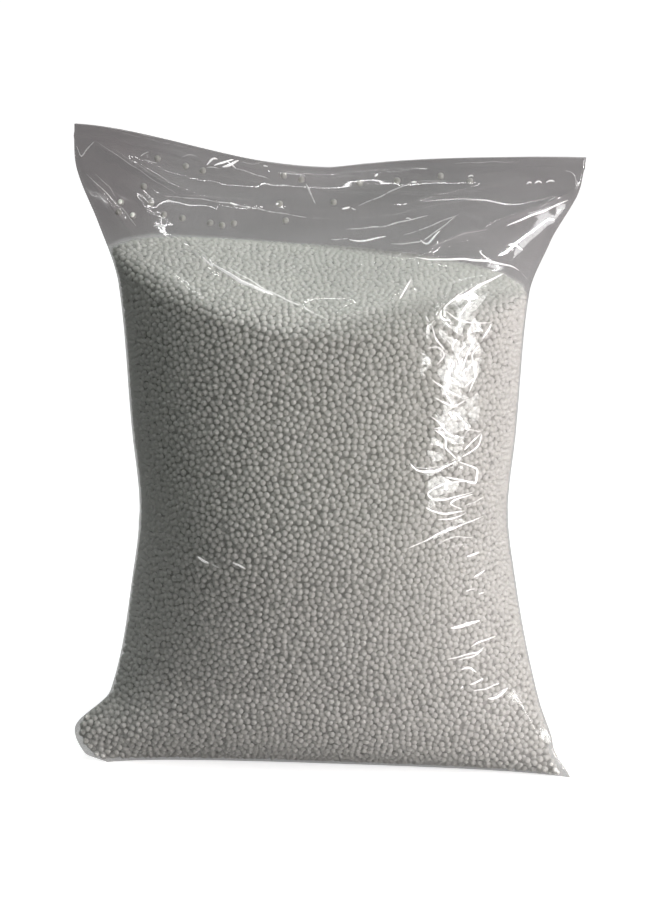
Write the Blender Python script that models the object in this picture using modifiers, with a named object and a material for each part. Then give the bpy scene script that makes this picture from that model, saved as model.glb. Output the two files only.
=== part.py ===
"""A clear film bag of small white foam beads, standing on its own base, at real size in metres.

The bag is a length of lay-flat film tube with a seam across its bottom. Film doesn't stretch, so every
level of the tube has the same girth: where the load pulls the side edges in, the section grows deeper,
and at the mouth it is flat again. The seam's two ends stand out near the floor as corners, the load of
beads fills the bag up to a sloping top with a soft shoulder, and the film above it closes in slack folds
to a mouth whose lips lie pressed together. A few beads cling inside this slack film.

+Z is up and the front of the bag faces -Y. The origin is on the floor, under the middle of the bag's box.
"""

import functools
import math
from collections.abc import Callable
from typing import NamedTuple

import bmesh
import bpy
from mathutils import Vector
from mathutils.bvhtree import BVHTree

COLLECTION_NAME = "Bag of foam beads"

# Film tube
FLAT_WIDTH = 0.300
FILM_WALL = 0.0004
LIP_GAP = 0.0006

# Heights above the floor
TOE_HEIGHT = 0.005
CORNER_HEIGHT = 0.020
CORNER_ROOT_HEIGHT = 0.041
WAIST_HEIGHT = 0.150
SHOULDER_HEIGHT = 0.283
MOUTH_HEIGHT = 0.3555
LEFT_CORNER_RISE = 0.0245
RIGHT_CORNER_RISE = 0.0125

# Places between them: from the floor to the waist, from there to the shoulder, and from there to the mouth
FLANK_SHARE = 0.69
CHEST_SHARE = 0.37
COLLAR_SHARE = 0.38
NECK_SHARE = 0.80

# How far each side edge is pulled in from the flat width, at the same levels
FLOOR_PULL = 0.0123
TOE_PULL = 0.0070
CORNER_PULL = 0.0080
CORNER_ROOT_PULL = 0.0222
FLANK_PULL = 0.0355
WAIST_PULL = 0.0410
CHEST_PULL = 0.0365
SHOULDER_PULL = 0.0295
COLLAR_PULL = 0.0175
NECK_PULL = 0.0018
MOUTH_PULL = 0.0004

# How far the middle of each level leans to the right
FLOOR_LEAN = 0.0085
TOE_LEAN = 0.0005
CORNER_LEAN = -0.0065
CORNER_ROOT_LEAN = -0.0005
FLANK_LEAN = -0.0030
BODY_LEAN = -0.0038
NECK_LEAN = -0.0015

# Base that the bag stands on, measured from the middle of its depth
SEAM_FORWARD = 0.037
BASE_FRONT = 0.020
BASE_BACK = 0.060
BASE_ROUND_HEIGHT = 0.052

# Slack film above the load: the higher the power, the later it closes towards its lips
CLOSING_POWER = 2.0
MOUTH_SWAY = 0.006
MOUTH_WAVES = 1.25

# Load of beads
BEAD_DIAMETER = 0.0040
LOAD_GAP = 0.0003
EDGE_INSETS = 2.6
TIP_BEADS = 1.8
LOAD_BACK_RISE = 0.0195
LOAD_BACK_FADE = 0.5
LOAD_LEFT_RISE = 0.024
LOAD_RIGHT_RISE = 0.003
LOAD_SAG_POWER = 1.3
LOAD_SHOULDER_DROP = 0.009
LOAD_SHOULDER_REACH = 0.014

# How finely the forms are divided
FILM_COLUMNS = 32
LOAD_TOP_COLUMNS = 8
GIRTH_STEPS = 48
SOLVE_STEPS = 30
FOLD_STEPS = 10
EVEN_SPREAD = 0.55

FOLD_RADIUS = FILM_WALL + LIP_GAP / 2
LOAD_INSET = FILM_WALL + LOAD_GAP
FLANK_POWER = 2.3
EDGE_SHARE = 0.96
FRONT = -1
BACK = 1


def chest(share):
    """Level of a place in the upper body, 0 at the waist and 1 at the shoulder."""
    return WAIST_HEIGHT + share * (SHOULDER_HEIGHT - WAIST_HEIGHT)


def headspace(share):
    """Level of a place in the slack film, 0 at the shoulder and 1 at the mouth."""
    return SHOULDER_HEIGHT + share * (MOUTH_HEIGHT - SHOULDER_HEIGHT)


class Station(NamedTuple):
    """The tube's outline at one height; a value between two stations is read from a smooth curve."""

    height: float
    pull: float
    lean: float
    edge_forward: float
    roundness: float


STATIONS = (
    Station(0.0, FLOOR_PULL, FLOOR_LEAN, SEAM_FORWARD, 1.25),
    Station(TOE_HEIGHT, TOE_PULL, TOE_LEAN, 0.99 * SEAM_FORWARD, 1.15),
    Station(CORNER_HEIGHT, CORNER_PULL, CORNER_LEAN, 0.93 * SEAM_FORWARD, 1.05),
    Station(CORNER_ROOT_HEIGHT, CORNER_ROOT_PULL, CORNER_ROOT_LEAN, 0.7 * SEAM_FORWARD, 1.45),
    Station(FLANK_SHARE * WAIST_HEIGHT, FLANK_PULL, FLANK_LEAN, 0.18 * SEAM_FORWARD, 1.85),
    Station(WAIST_HEIGHT, WAIST_PULL, BODY_LEAN, 0.0, 2.0),
    Station(chest(CHEST_SHARE), CHEST_PULL, BODY_LEAN, 0.0, 1.95),
    Station(SHOULDER_HEIGHT, SHOULDER_PULL, BODY_LEAN, 0.0, 1.8),
    Station(headspace(COLLAR_SHARE), COLLAR_PULL, BODY_LEAN, 0.0, 1.4),
    Station(headspace(NECK_SHARE), NECK_PULL, NECK_LEAN, 0.0, 1.2),
    Station(MOUTH_HEIGHT, MOUTH_PULL, 0.0, 0.0, 1.1),
)


class Outline(NamedTuple):
    """One level of the tube, ready to be sampled."""

    half_width: float
    lean: float
    edge_y: float
    front_reach: float
    back_reach: float
    roundness: float


class Fold(NamedTuple):
    """A raised fold of the film, along a curve of three points that each say how far across and up."""

    side: int
    zone: Callable[[float], float]
    start: tuple[float, float]
    bend: tuple[float, float]
    end: tuple[float, float]
    height: float
    spread: float


def slope_between(one, other, field):
    """Rise of a station's field for each metre of height."""
    return (getattr(other, field) - getattr(one, field)) / (other.height - one.height)


def knot_slope(index, field):
    """Slope of the smooth curve at a station, which is level where the field turns back."""
    if index in (0, len(STATIONS) - 1):
        near = max(index - 1, 0)
        return slope_between(STATIONS[near], STATIONS[near + 1], field)
    below = slope_between(STATIONS[index - 1], STATIONS[index], field)
    above = slope_between(STATIONS[index], STATIONS[index + 1], field)
    if below * above <= 0:
        return 0.0
    return 2 * below * above / (below + above)


def station_value(level, field):
    """A station's field at any level, from a cubic curve through the stations."""
    index = 0
    while index < len(STATIONS) - 2 and level > STATIONS[index + 1].height:
        index += 1
    low, high = STATIONS[index], STATIONS[index + 1]
    span = high.height - low.height
    t = min(max((level - low.height) / span, 0.0), 1.0)
    rise = getattr(high, field) - getattr(low, field)
    start = knot_slope(index, field) * span
    end = knot_slope(index + 1, field) * span
    square = 3 * rise - 2 * start - end
    cube = start + end - 2 * rise
    return getattr(low, field) + start * t + square * t**2 + cube * t**3


def lens(across, roundness):
    """Share of the full reach at a place across the tube: two arcs with sharp edges at 1, an oval at 2."""
    return (1 - min(abs(across), 1.0) ** FLANK_POWER) ** (1 / roundness)


def girth(half_width, front_reach, back_reach, roundness):
    """Length of film round one level."""
    total = 0.0
    for reach in (front_reach, back_reach):
        last = Vector((-half_width, 0.0))
        for step in range(1, GIRTH_STEPS + 1):
            across = math.sin(math.pi * (step / GIRTH_STEPS - 0.5))
            point = Vector((across * half_width, reach * lens(across, roundness)))
            total += (point - last).length
            last = point
    return total


def headspace_share(level):
    """0 at the shoulder and below it, 1 at the mouth."""
    return min(max((level - SHOULDER_HEIGHT) / (MOUTH_HEIGHT - SHOULDER_HEIGHT), 0.0), 1.0)


@functools.cache
def full_reach(level):
    """Depth on each side of the middle that uses up the tube's girth."""
    half_width = FLAT_WIDTH / 2 - station_value(level, "pull")
    edge_forward = station_value(level, "edge_forward")
    roundness = station_value(level, "roundness")
    low, high = 0.0, FLAT_WIDTH
    for _ in range(SOLVE_STEPS):
        reach = (low + high) / 2
        if girth(half_width, reach - edge_forward, reach + edge_forward, roundness) < 2 * FLAT_WIDTH:
            low = reach
        else:
            high = reach
    return low


@functools.cache
def outline_at(level):
    """The tube's outline at a level.

    Near the floor it rounds in to the base that the bag stands on, and above the load it closes to the lips.
    """
    edge_forward = station_value(level, "edge_forward")
    reach = full_reach(max(level, BASE_ROUND_HEIGHT)) * (1 - headspace_share(level) ** CLOSING_POWER)
    filled = math.sqrt(1 - (1 - min(level / BASE_ROUND_HEIGHT, 1.0)) ** 2)
    base_front = BASE_FRONT - SEAM_FORWARD
    base_back = BASE_BACK + SEAM_FORWARD
    return Outline(
        half_width=FLAT_WIDTH / 2 - station_value(level, "pull"),
        lean=station_value(level, "lean"),
        edge_y=-edge_forward,
        front_reach=base_front + (reach - edge_forward - base_front) * filled,
        back_reach=base_back + (reach + edge_forward - base_back) * filled,
        roundness=station_value(level, "roundness"),
    )


def corner_rise(across):
    """How much higher than its middle the mouth is at a place across it."""
    if across < 0:
        return LEFT_CORNER_RISE * math.sin(across * math.pi / 2) ** 2
    return RIGHT_CORNER_RISE * math.sin(across * math.pi / 2)


def level_at(across, height):
    """The film's level that comes to lie at a height, since the mouth's corners lift the slack film."""
    slack_height = MOUTH_HEIGHT - SHOULDER_HEIGHT
    above = max(height - SHOULDER_HEIGHT, 0.0)
    return min(height, SHOULDER_HEIGHT) + above * slack_height / (slack_height + corner_rise(across))


def bezier(fold, t):
    """A point along a fold, as (across, level)."""
    across, up = (
        (1 - t) ** 2 * a + 2 * t * (1 - t) * b + t**2 * c
        for a, b, c in zip(fold.start, fold.bend, fold.end, strict=True)
    )
    return across, fold.zone(up)


def fold_height(fold, x, level, half_width):
    """How far a fold raises the film at a place; it fades out at both ends."""
    best = 0.0
    for step in range(FOLD_STEPS + 1):
        t = step / FOLD_STEPS
        across, along = bezier(fold, t)
        distance = math.hypot(x - across * half_width, level - along) / fold.spread
        fade = math.sin(math.pi * (0.1 + 0.8 * t))
        best = max(best, fade * math.exp(-(distance**2)))
    return fold.height * best


def near_waist(share):
    """Level of a place near the waist, in shares of the waist's height above or below it."""
    return WAIST_HEIGHT * (1 + share)


def near_corner(share):
    """Level of a place near the floor corners, 1 at their tips."""
    return CORNER_HEIGHT * share


FOLDS = (
    # The long fold that hangs from one mouth corner to the other, and its like on the back
    Fold(FRONT, headspace, (-0.92, 0.92), (-0.04, 0.42), (0.80, 0.90), 0.0065, 0.006),
    Fold(BACK, headspace, (-0.88, 0.88), (0.10, 0.18), (0.90, 0.80), 0.0056, 0.007),
    # The crest that sags in two straight arms along the front of the load's shoulder, and its like behind
    Fold(FRONT, headspace, (-0.78, 0.45), (-0.39, 0.24), (0.01, 0.02), 0.0036, 0.007),
    Fold(FRONT, headspace, (-0.03, 0.02), (0.34, 0.20), (0.92, 0.16), 0.0036, 0.007),
    Fold(BACK, headspace, (-0.92, 0.20), (0.05, 0.02), (0.92, 0.15), 0.0036, 0.008),
    # Two folds that run in from the side edges of the slack film
    Fold(FRONT, headspace, (-0.96, 0.78), (-0.90, 0.62), (-0.80, 0.44), 0.0052, 0.006),
    Fold(FRONT, headspace, (0.94, 0.76), (0.84, 0.66), (0.74, 0.60), 0.0052, 0.006),
    # The short folds on the right of the shoulder
    Fold(FRONT, headspace, (0.38, 0.46), (0.66, 0.44), (0.93, 0.22), 0.0045, 0.006),
    Fold(FRONT, headspace, (0.82, 0.30), (0.62, 0.20), (0.50, 0.03), 0.0042, 0.006),
    # Creases that spread from the side edges where the waist pinches them
    Fold(FRONT, near_waist, (-0.99, 0.00), (-0.92, 0.03), (-0.80, 0.09), 0.0024, 0.007),
    Fold(FRONT, near_waist, (0.99, 0.04), (0.92, 0.00), (0.80, -0.06), 0.0024, 0.007),
    Fold(BACK, near_waist, (-0.99, 0.00), (-0.90, -0.03), (-0.78, -0.10), 0.0024, 0.007),
    Fold(BACK, near_waist, (0.99, 0.00), (0.90, 0.04), (0.78, 0.10), 0.0024, 0.007),
    # Folds across the two floor corners
    Fold(FRONT, near_corner, (-0.97, 1.1), (-0.86, 1.7), (-0.78, 2.8), 0.0045, 0.008),
    Fold(FRONT, near_corner, (0.95, 0.9), (0.88, 1.8), (0.84, 2.9), 0.0045, 0.008),
)


# Rows of points up the bag, as shares of the zone that they divide
BASE_ROW_SHARES = (0.0, 0.03, 0.11, 0.25, 0.42, 0.62, 0.86)
FLANK_ROW_SHARES = (0.20, 0.55, 0.86)
BODY_ROW_SHARES = (0.0, 0.10, 0.36, 0.62, 0.84)
SLACK_ROW_SHARES = tuple(row / 10 for row in range(11))
LOAD_ROW_SHARES = (0.10, 0.30, 0.42, 0.52, 0.70, 0.82, 0.89, 0.95, 1.0)


def film_levels():
    """Heights of the film's rows: close together at the rounded base, at the waist and in the slack film."""
    base = [BASE_ROUND_HEIGHT * share for share in BASE_ROW_SHARES]
    flank = [BASE_ROUND_HEIGHT + (WAIST_HEIGHT - BASE_ROUND_HEIGHT) * share for share in FLANK_ROW_SHARES]
    body = [WAIST_HEIGHT + (SHOULDER_HEIGHT - WAIST_HEIGHT) * share for share in BODY_ROW_SHARES]
    return base + flank + body + [headspace(share) for share in SLACK_ROW_SHARES]


def places_across():
    """Places across one side of the tube, from -1 to 1, closer together towards its edges."""
    steps = [-1 + 2 * step / (FILM_COLUMNS - 2) for step in range(FILM_COLUMNS - 1)]
    return [EVEN_SPREAD * t + (1 - EVEN_SPREAD) * math.sin(t * math.pi / 2) for t in steps]


def film_places(half_width):
    """The same places, with one more at each side edge to turn the film's fold."""
    inner = 1 - FOLD_RADIUS / half_width
    return [-1.0] + [inner * place for place in places_across()] + [1.0]


def film_point(outline, level, across, side):
    """A point on the outside of the film."""
    x = across * outline.half_width
    reach = outline.front_reach if side == FRONT else outline.back_reach
    to_edge = outline.half_width - abs(x)
    turn = math.sqrt(max(1 - max(1 - to_edge / FOLD_RADIUS, 0.0) ** 2, 0.0))
    depth = reach * lens(across, outline.roundness) + FOLD_RADIUS * turn
    raised = sum(fold_height(fold, x, level, outline.half_width) for fold in FOLDS if fold.side == side)
    share = headspace_share(level)
    held_open = min(depth / (8 * FOLD_RADIUS), 1.0) if level > 0 else 0.0
    sway = MOUTH_SWAY * share**2 * math.sin(MOUTH_WAVES * math.pi * (across + 0.3))
    return Vector((
        outline.lean + x,
        outline.edge_y + sway + side * (depth + raised * held_open * turn),
        level + corner_rise(across) * share,
    ))


def new_material(name, colour, roughness, alpha=1.0):
    """A plain Principled material."""
    material = bpy.data.materials.new(name)
    material.use_nodes = True
    shader = material.node_tree.nodes["Principled BSDF"]
    shader.inputs["Base Color"].default_value = (*colour, 1.0)
    shader.inputs["Roughness"].default_value = roughness
    shader.inputs["Metallic"].default_value = 0.0
    shader.inputs["Alpha"].default_value = alpha
    material.diffuse_color = (*colour, alpha)
    return material


def object_from(bm, name, material, collection):
    """Close a bmesh into a smooth-shaded object with faces pointing out."""
    bmesh.ops.recalc_face_normals(bm, faces=bm.faces)
    mesh = bpy.data.meshes.new(name)
    bm.to_mesh(mesh)
    bm.free()
    mesh.materials.append(material)
    mesh.shade_smooth()
    made = bpy.data.objects.new(name, mesh)
    collection.objects.link(made)
    return made


def loft(bm, rings):
    """Skin a row of rings that all have as many points; points that fall together become one."""
    rows = [[bm.verts.new(point) for point in ring] for ring in rings]
    for lower, upper in zip(rows, rows[1:]):
        for index in range(len(lower)):
            after = (index + 1) % len(lower)
            bm.faces.new((lower[index], lower[after], upper[after], upper[index]))
    return rows


def build_film(collection, material):
    """The tube's outside from the base to the open mouth, given its wall by a Solidify modifier."""
    bm = bmesh.new()
    rings = []
    for level in film_levels():
        outline = outline_at(level)
        places = film_places(outline.half_width)
        front = [film_point(outline, level, across, FRONT) for across in places]
        back = [film_point(outline, level, across, BACK) for across in places[-2:0:-1]]
        rings.append(front + back)
    base = loft(bm, rings)[0]
    for index in range(FILM_COLUMNS):
        corners = (base[index], base[index + 1], base[-index - 1], base[-index])
        bm.faces.new(dict.fromkeys(corners))
    film = object_from(bm, "bag_film", material, collection)
    wall = film.modifiers.new("Film wall", "SOLIDIFY")
    wall.thickness = FILM_WALL
    wall.offset = -1.0
    wall.use_even_offset = True
    return film


def load_top(across, through):
    """Height of the beads' top at a place across and from front (0) to back (1), before its shoulder.

    It starts at the level where the film goes slack, rises towards both sides and, in the middle, to the back.
    At the side edges front and back are one place, so both walls end at the same height there.
    """
    rise = LOAD_LEFT_RISE if across < 0 else LOAD_RIGHT_RISE
    through = 0.5 + (through - 0.5) * (1 - across**8)
    back_rise = LOAD_BACK_RISE * (1 - LOAD_BACK_FADE * abs(across))
    return SHOULDER_HEIGHT + rise * abs(across) ** LOAD_SAG_POWER + back_rise * math.sin(through * math.pi / 2)


@functools.cache
def load_outline(level):
    """The film's outline, drawn in so that the load seats inside the wall with its gap all round.

    The sharper the side edge, the further in the load ends, and no bead gets into the floor corners' tips.
    Where the tube is deeper behind its side edges than in front, the load's own edge lies further back.
    """
    outline = outline_at(level)
    mean_reach = (outline.front_reach + outline.back_reach) / 2
    steepness = mean_reach * lens(EDGE_SHARE, outline.roundness)
    pinch = math.hypot(1.0, (1 - EDGE_SHARE) * outline.half_width / steepness)
    empty_tip = TIP_BEADS * BEAD_DIAMETER * max(1 - level / BASE_ROUND_HEIGHT, 0.0)
    half_width = outline.half_width - FOLD_RADIUS - EDGE_INSETS * LOAD_INSET * pinch - empty_tip
    depth_at_edge = lens(half_width / outline.half_width, outline.roundness)
    shift = (outline.back_reach - outline.front_reach) / 2 * depth_at_edge
    return outline._replace(
        half_width=half_width,
        edge_y=outline.edge_y + shift,
        front_reach=outline.front_reach + shift - LOAD_INSET,
        back_reach=outline.back_reach - shift - LOAD_INSET,
    )


def load_wall(across, side, through):
    """The load's outside from its base up to its shoulder, at one place across one side."""
    top = load_top(across, through) - LOAD_SHOULDER_DROP
    levels = [level for level in film_levels() if level <= BASE_ROUND_HEIGHT]
    start = levels[-1]
    levels += [start + (top - start) * share for share in LOAD_ROW_SHARES]
    points = []
    for level in levels:
        outline = load_outline(level_at(across, level))
        reach = outline.front_reach if side == FRONT else outline.back_reach
        depth = reach * lens(across, outline.roundness)
        points.append(Vector((
            outline.lean + across * outline.half_width,
            outline.edge_y + side * depth,
            level + LOAD_INSET,
        )))
    return points


def load_ring(across):
    """One slice of the load: up its front, over the top, down its back."""
    front = load_wall(across, FRONT, 0.0)
    back = load_wall(across, BACK, 1.0)
    start, end = front[-1], back[-1]
    crown = []
    for step in range(1, LOAD_TOP_COLUMNS):
        through = (1 - math.cos(step * math.pi / LOAD_TOP_COLUMNS)) / 2
        point = start.lerp(end, through)
        to_wall = min(through, 1 - through) * (end - start).length / LOAD_SHOULDER_REACH
        shoulder = math.sqrt(1 - (1 - min(to_wall, 1.0)) ** 2)
        edge = start.z + (end.z - start.z) * through
        point.z = edge + (load_top(across, through) + LOAD_INSET - edge) * shoulder
        crown.append(point)
    return front + crown + back[::-1]


def build_load(collection, material):
    """The load of beads as one solid: slices side by side, drawn to an edge at both ends."""
    bm = bmesh.new()
    loft(bm, [load_ring(across) for across in places_across()])
    bmesh.ops.remove_doubles(bm, verts=bm.verts, dist=0.00002)
    return object_from(bm, "bead_fill", material, collection)


# Where single beads cling inside the slack film: side, place across, share of the way from load to mouth
LOOSE_BEADS = (
    (FRONT, -0.84, 0.33), (FRONT, -0.87, 0.20), (FRONT, -0.80, 0.26), (FRONT, -0.66, 0.38),
    (FRONT, -0.58, 0.41), (FRONT, -0.46, 0.45), (FRONT, -0.41, 0.46), (FRONT, -0.36, 0.50),
    (FRONT, -0.49, 0.81), (FRONT, -0.73, 0.54), (FRONT, -0.18, 0.70), (FRONT, 0.03, 0.73),
    (FRONT, 0.27, 0.85), (FRONT, 0.56, 0.82),
    (BACK, -0.76, 0.07), (BACK, -0.20, 0.14), (BACK, -0.56, 0.73), (BACK, -0.67, 0.74),
    (BACK, -0.11, 0.84), (BACK, -0.18, 0.88), (BACK, 0.12, 0.78), (BACK, 0.44, 0.82),
)


def build_loose_beads(collection, material, film):
    """Single beads that touch the inside of the film, each pushed in until it is just clear of the wall."""
    bpy.context.view_layer.update()
    walls = BVHTree.FromObject(film, bpy.context.evaluated_depsgraph_get())
    radius = BEAD_DIAMETER / 2
    for number, (side, across, share) in enumerate(LOOSE_BEADS, 1):
        above_load = load_top(across, 0.0 if side == FRONT else 1.0) + BEAD_DIAMETER
        level = above_load + share * (MOUTH_HEIGHT - above_load)
        centre = film_point(outline_at(level), level, across, side)
        centre.y -= side * (FILM_WALL + LOAD_GAP + radius)
        for _ in range(SOLVE_STEPS):
            nearest, _normal, _index, distance = walls.find_nearest(centre)
            short = radius + LOAD_GAP - distance
            if short > 0:
                centre += (centre - nearest).normalized() * short
        bm = bmesh.new()
        bmesh.ops.create_icosphere(bm, subdivisions=2, radius=radius)
        bead = object_from(bm, f"loose_bead_{number:02d}", material, collection)
        bead.location = centre


def centre_over_origin(film, parts):
    """Slide the parts so that the middle of the film's box is over the origin."""
    bpy.context.view_layer.update()
    corners = [film.matrix_world @ vertex.co for vertex in film.data.vertices]
    middle_x = (min(c.x for c in corners) + max(c.x for c in corners)) / 2
    middle_y = (min(c.y for c in corners) + max(c.y for c in corners)) / 2
    for part in parts:
        part.location.x -= middle_x
        part.location.y -= middle_y


def main():
    for old in list(bpy.data.objects):
        bpy.data.objects.remove(old, do_unlink=True)
    collection = bpy.data.collections.new(COLLECTION_NAME)
    bpy.context.scene.collection.children.link(collection)
    clear_film = new_material("Clear film", (0.50, 0.47, 0.49), 0.12, alpha=0.45)
    foam = new_material("White foam", (0.72, 0.71, 0.68), 0.75)
    film = build_film(collection, clear_film)
    build_load(collection, foam)
    build_loose_beads(collection, foam, film)
    centre_over_origin(film, list(collection.objects))


main()
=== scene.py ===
"""Looks of a standing clear film bag of white foam beads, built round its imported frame."""

import logging
import math
from dataclasses import dataclass, field
from enum import Enum
from itertools import product
from typing import Any, NamedTuple

import bpy
import numpy as np
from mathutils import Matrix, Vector, noise
from mathutils.kdtree import KDTree


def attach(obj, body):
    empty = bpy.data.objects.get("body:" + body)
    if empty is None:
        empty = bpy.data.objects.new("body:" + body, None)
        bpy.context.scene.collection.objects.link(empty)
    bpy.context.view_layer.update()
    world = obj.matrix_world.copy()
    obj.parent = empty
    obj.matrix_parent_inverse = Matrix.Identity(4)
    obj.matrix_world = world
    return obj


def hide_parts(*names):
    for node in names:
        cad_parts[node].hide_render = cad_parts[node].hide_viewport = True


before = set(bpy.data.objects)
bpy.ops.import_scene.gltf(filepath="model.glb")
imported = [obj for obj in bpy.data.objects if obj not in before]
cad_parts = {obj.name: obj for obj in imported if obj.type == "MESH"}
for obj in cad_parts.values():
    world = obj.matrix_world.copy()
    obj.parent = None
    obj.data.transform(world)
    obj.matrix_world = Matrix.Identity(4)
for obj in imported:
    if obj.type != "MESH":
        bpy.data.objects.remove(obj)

LOG = logging.getLogger("bag_of_beads")
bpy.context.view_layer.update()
MM = 0.001
SLACK_NAME = "slack"
SHEEN_NAME = "painted_sheen"
OPEN_NAME = "open"
GLINT_NAME = "glint"


class Side(Enum):
    """The two walls of the tube, by the sign of their depth."""

    FRONT = -1
    BACK = 1


class Wire:
    """One shader socket in an expression; maths on it adds Math nodes."""

    def __init__(self, shader: "Shader", socket: Any) -> None:
        """Wrap an output socket of a shader's node tree."""
        self.shader = shader
        self.socket = socket

    def _math(self, operation: str, *values: Any) -> "Wire":
        """Add a Math node and return its result."""
        return self.shader.node("ShaderNodeMath", {"operation": operation}, dict(enumerate(values)))

    def __add__(self, other: Any) -> "Wire":
        """Sum."""
        return self._math("ADD", self, other)

    def __sub__(self, other: Any) -> "Wire":
        """Difference."""
        return self._math("SUBTRACT", self, other)

    def __rsub__(self, other: Any) -> "Wire":
        """Difference with a number on the left."""
        return self._math("SUBTRACT", other, self)

    def __mul__(self, other: Any) -> "Wire":
        """Product."""
        return self._math("MULTIPLY", self, other)

    def clamped(self) -> "Wire":
        """The value held between 0 and 1."""
        settings = {"operation": "MULTIPLY", "use_clamp": True}
        return self.shader.node("ShaderNodeMath", settings, {0: self, 1: 1.0})


class Shader:
    """A material's node tree with one Principled shader in it."""

    def __init__(self, name: str, colour: tuple[float, float, float]) -> None:
        """Make the material and find its Principled shader.

        Args:
            name: The material's name.
            colour: Its plain colour, also shown in solid view.
        """
        self.material = bpy.data.materials.new(name)
        self.material.use_nodes = True
        self.material.diffuse_color = (*colour, 1.0)
        self.tree = self.material.node_tree
        self.principled = self.tree.nodes["Principled BSDF"]
        self.set("Base Color", colour)

    def set(self, socket: str, value: Any) -> None:
        """Set or link one input of the Principled shader."""
        self.feed(self.principled.inputs[socket], value)

    def feed(self, socket: Any, value: Any) -> None:
        """Link a wire to a socket, or set the socket's own value; a colour gets its alpha here.

        Args:
            socket: The socket to feed.
            value: A wire, or what the socket is set to.
        """
        if isinstance(value, Wire):
            self.tree.links.new(value.socket, socket)
        elif socket.type == "RGBA":
            socket.default_value = (*value, 1.0)
        else:
            socket.default_value = value

    def node(self, kind: str, settings: dict[str, Any], inputs: dict[Any, Any], output: Any = 0) -> Wire:
        """Add a node.

        Args:
            kind: The node's type.
            settings: Its properties, set before its sockets.
            inputs: Socket name or number to a value or a wire.
            output: Name or number of the output to return.

        Returns:
            The chosen output as a wire.
        """
        made = self.tree.nodes.new(kind)
        for name, value in settings.items():
            setattr(made, name, value)
        for name, value in inputs.items():
            self.feed(made.inputs[name], value)
        return Wire(self, made.outputs[output])

    def place(self) -> Wire:
        """Object coordinates, which are the frame's own metres."""
        return self.node("ShaderNodeTexCoord", {}, {}, "Object")

    def attribute(self, name: str) -> Wire:
        """A number that the mesh holds at each point."""
        return self.node("ShaderNodeAttribute", {"attribute_name": name}, {}, "Fac")

    def noise(self, vector: Wire, scale: float, detail: float = 2.0) -> Wire:
        """Noise around 0.5."""
        return self.node("ShaderNodeTexNoise", {}, {"Vector": vector, "Scale": scale, "Detail": detail})

    def cells(self, vector: Wire, scale: float) -> Wire:
        """Distance from the middle of each small cell."""
        return self.node("ShaderNodeTexVoronoi", {}, {"Vector": vector, "Scale": scale}, "Distance")

    def stretched(self, vector: Wire, scale: tuple[float, float, float]) -> Wire:
        """Coordinates scaled on each axis by itself."""
        return self.node("ShaderNodeMapping", {}, {"Vector": vector, "Scale": scale}, "Vector")

    def mixed(self, factor: Any, low: Any, high: Any) -> Wire:
        """A colour between two colours.

        Args:
            factor: How far towards the second.
            low: The first colour.
            high: The second colour.

        Returns:
            The mixed colour as a wire.
        """
        made = self.tree.nodes.new("ShaderNodeMix")
        made.data_type = "RGBA"
        for socket, value in ((made.inputs[0], factor), (made.inputs[6], low), (made.inputs[7], high)):
            self.feed(socket, value)
        return Wire(self, made.outputs[2])

    def bump(self, height: Wire, distance: float, strength: float = 1.0) -> None:
        """Feed a height to the shader's normal."""
        inputs = {"Height": height, "Distance": distance, "Strength": strength}
        self.set("Normal", self.node("ShaderNodeBump", {}, inputs, "Normal"))


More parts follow.
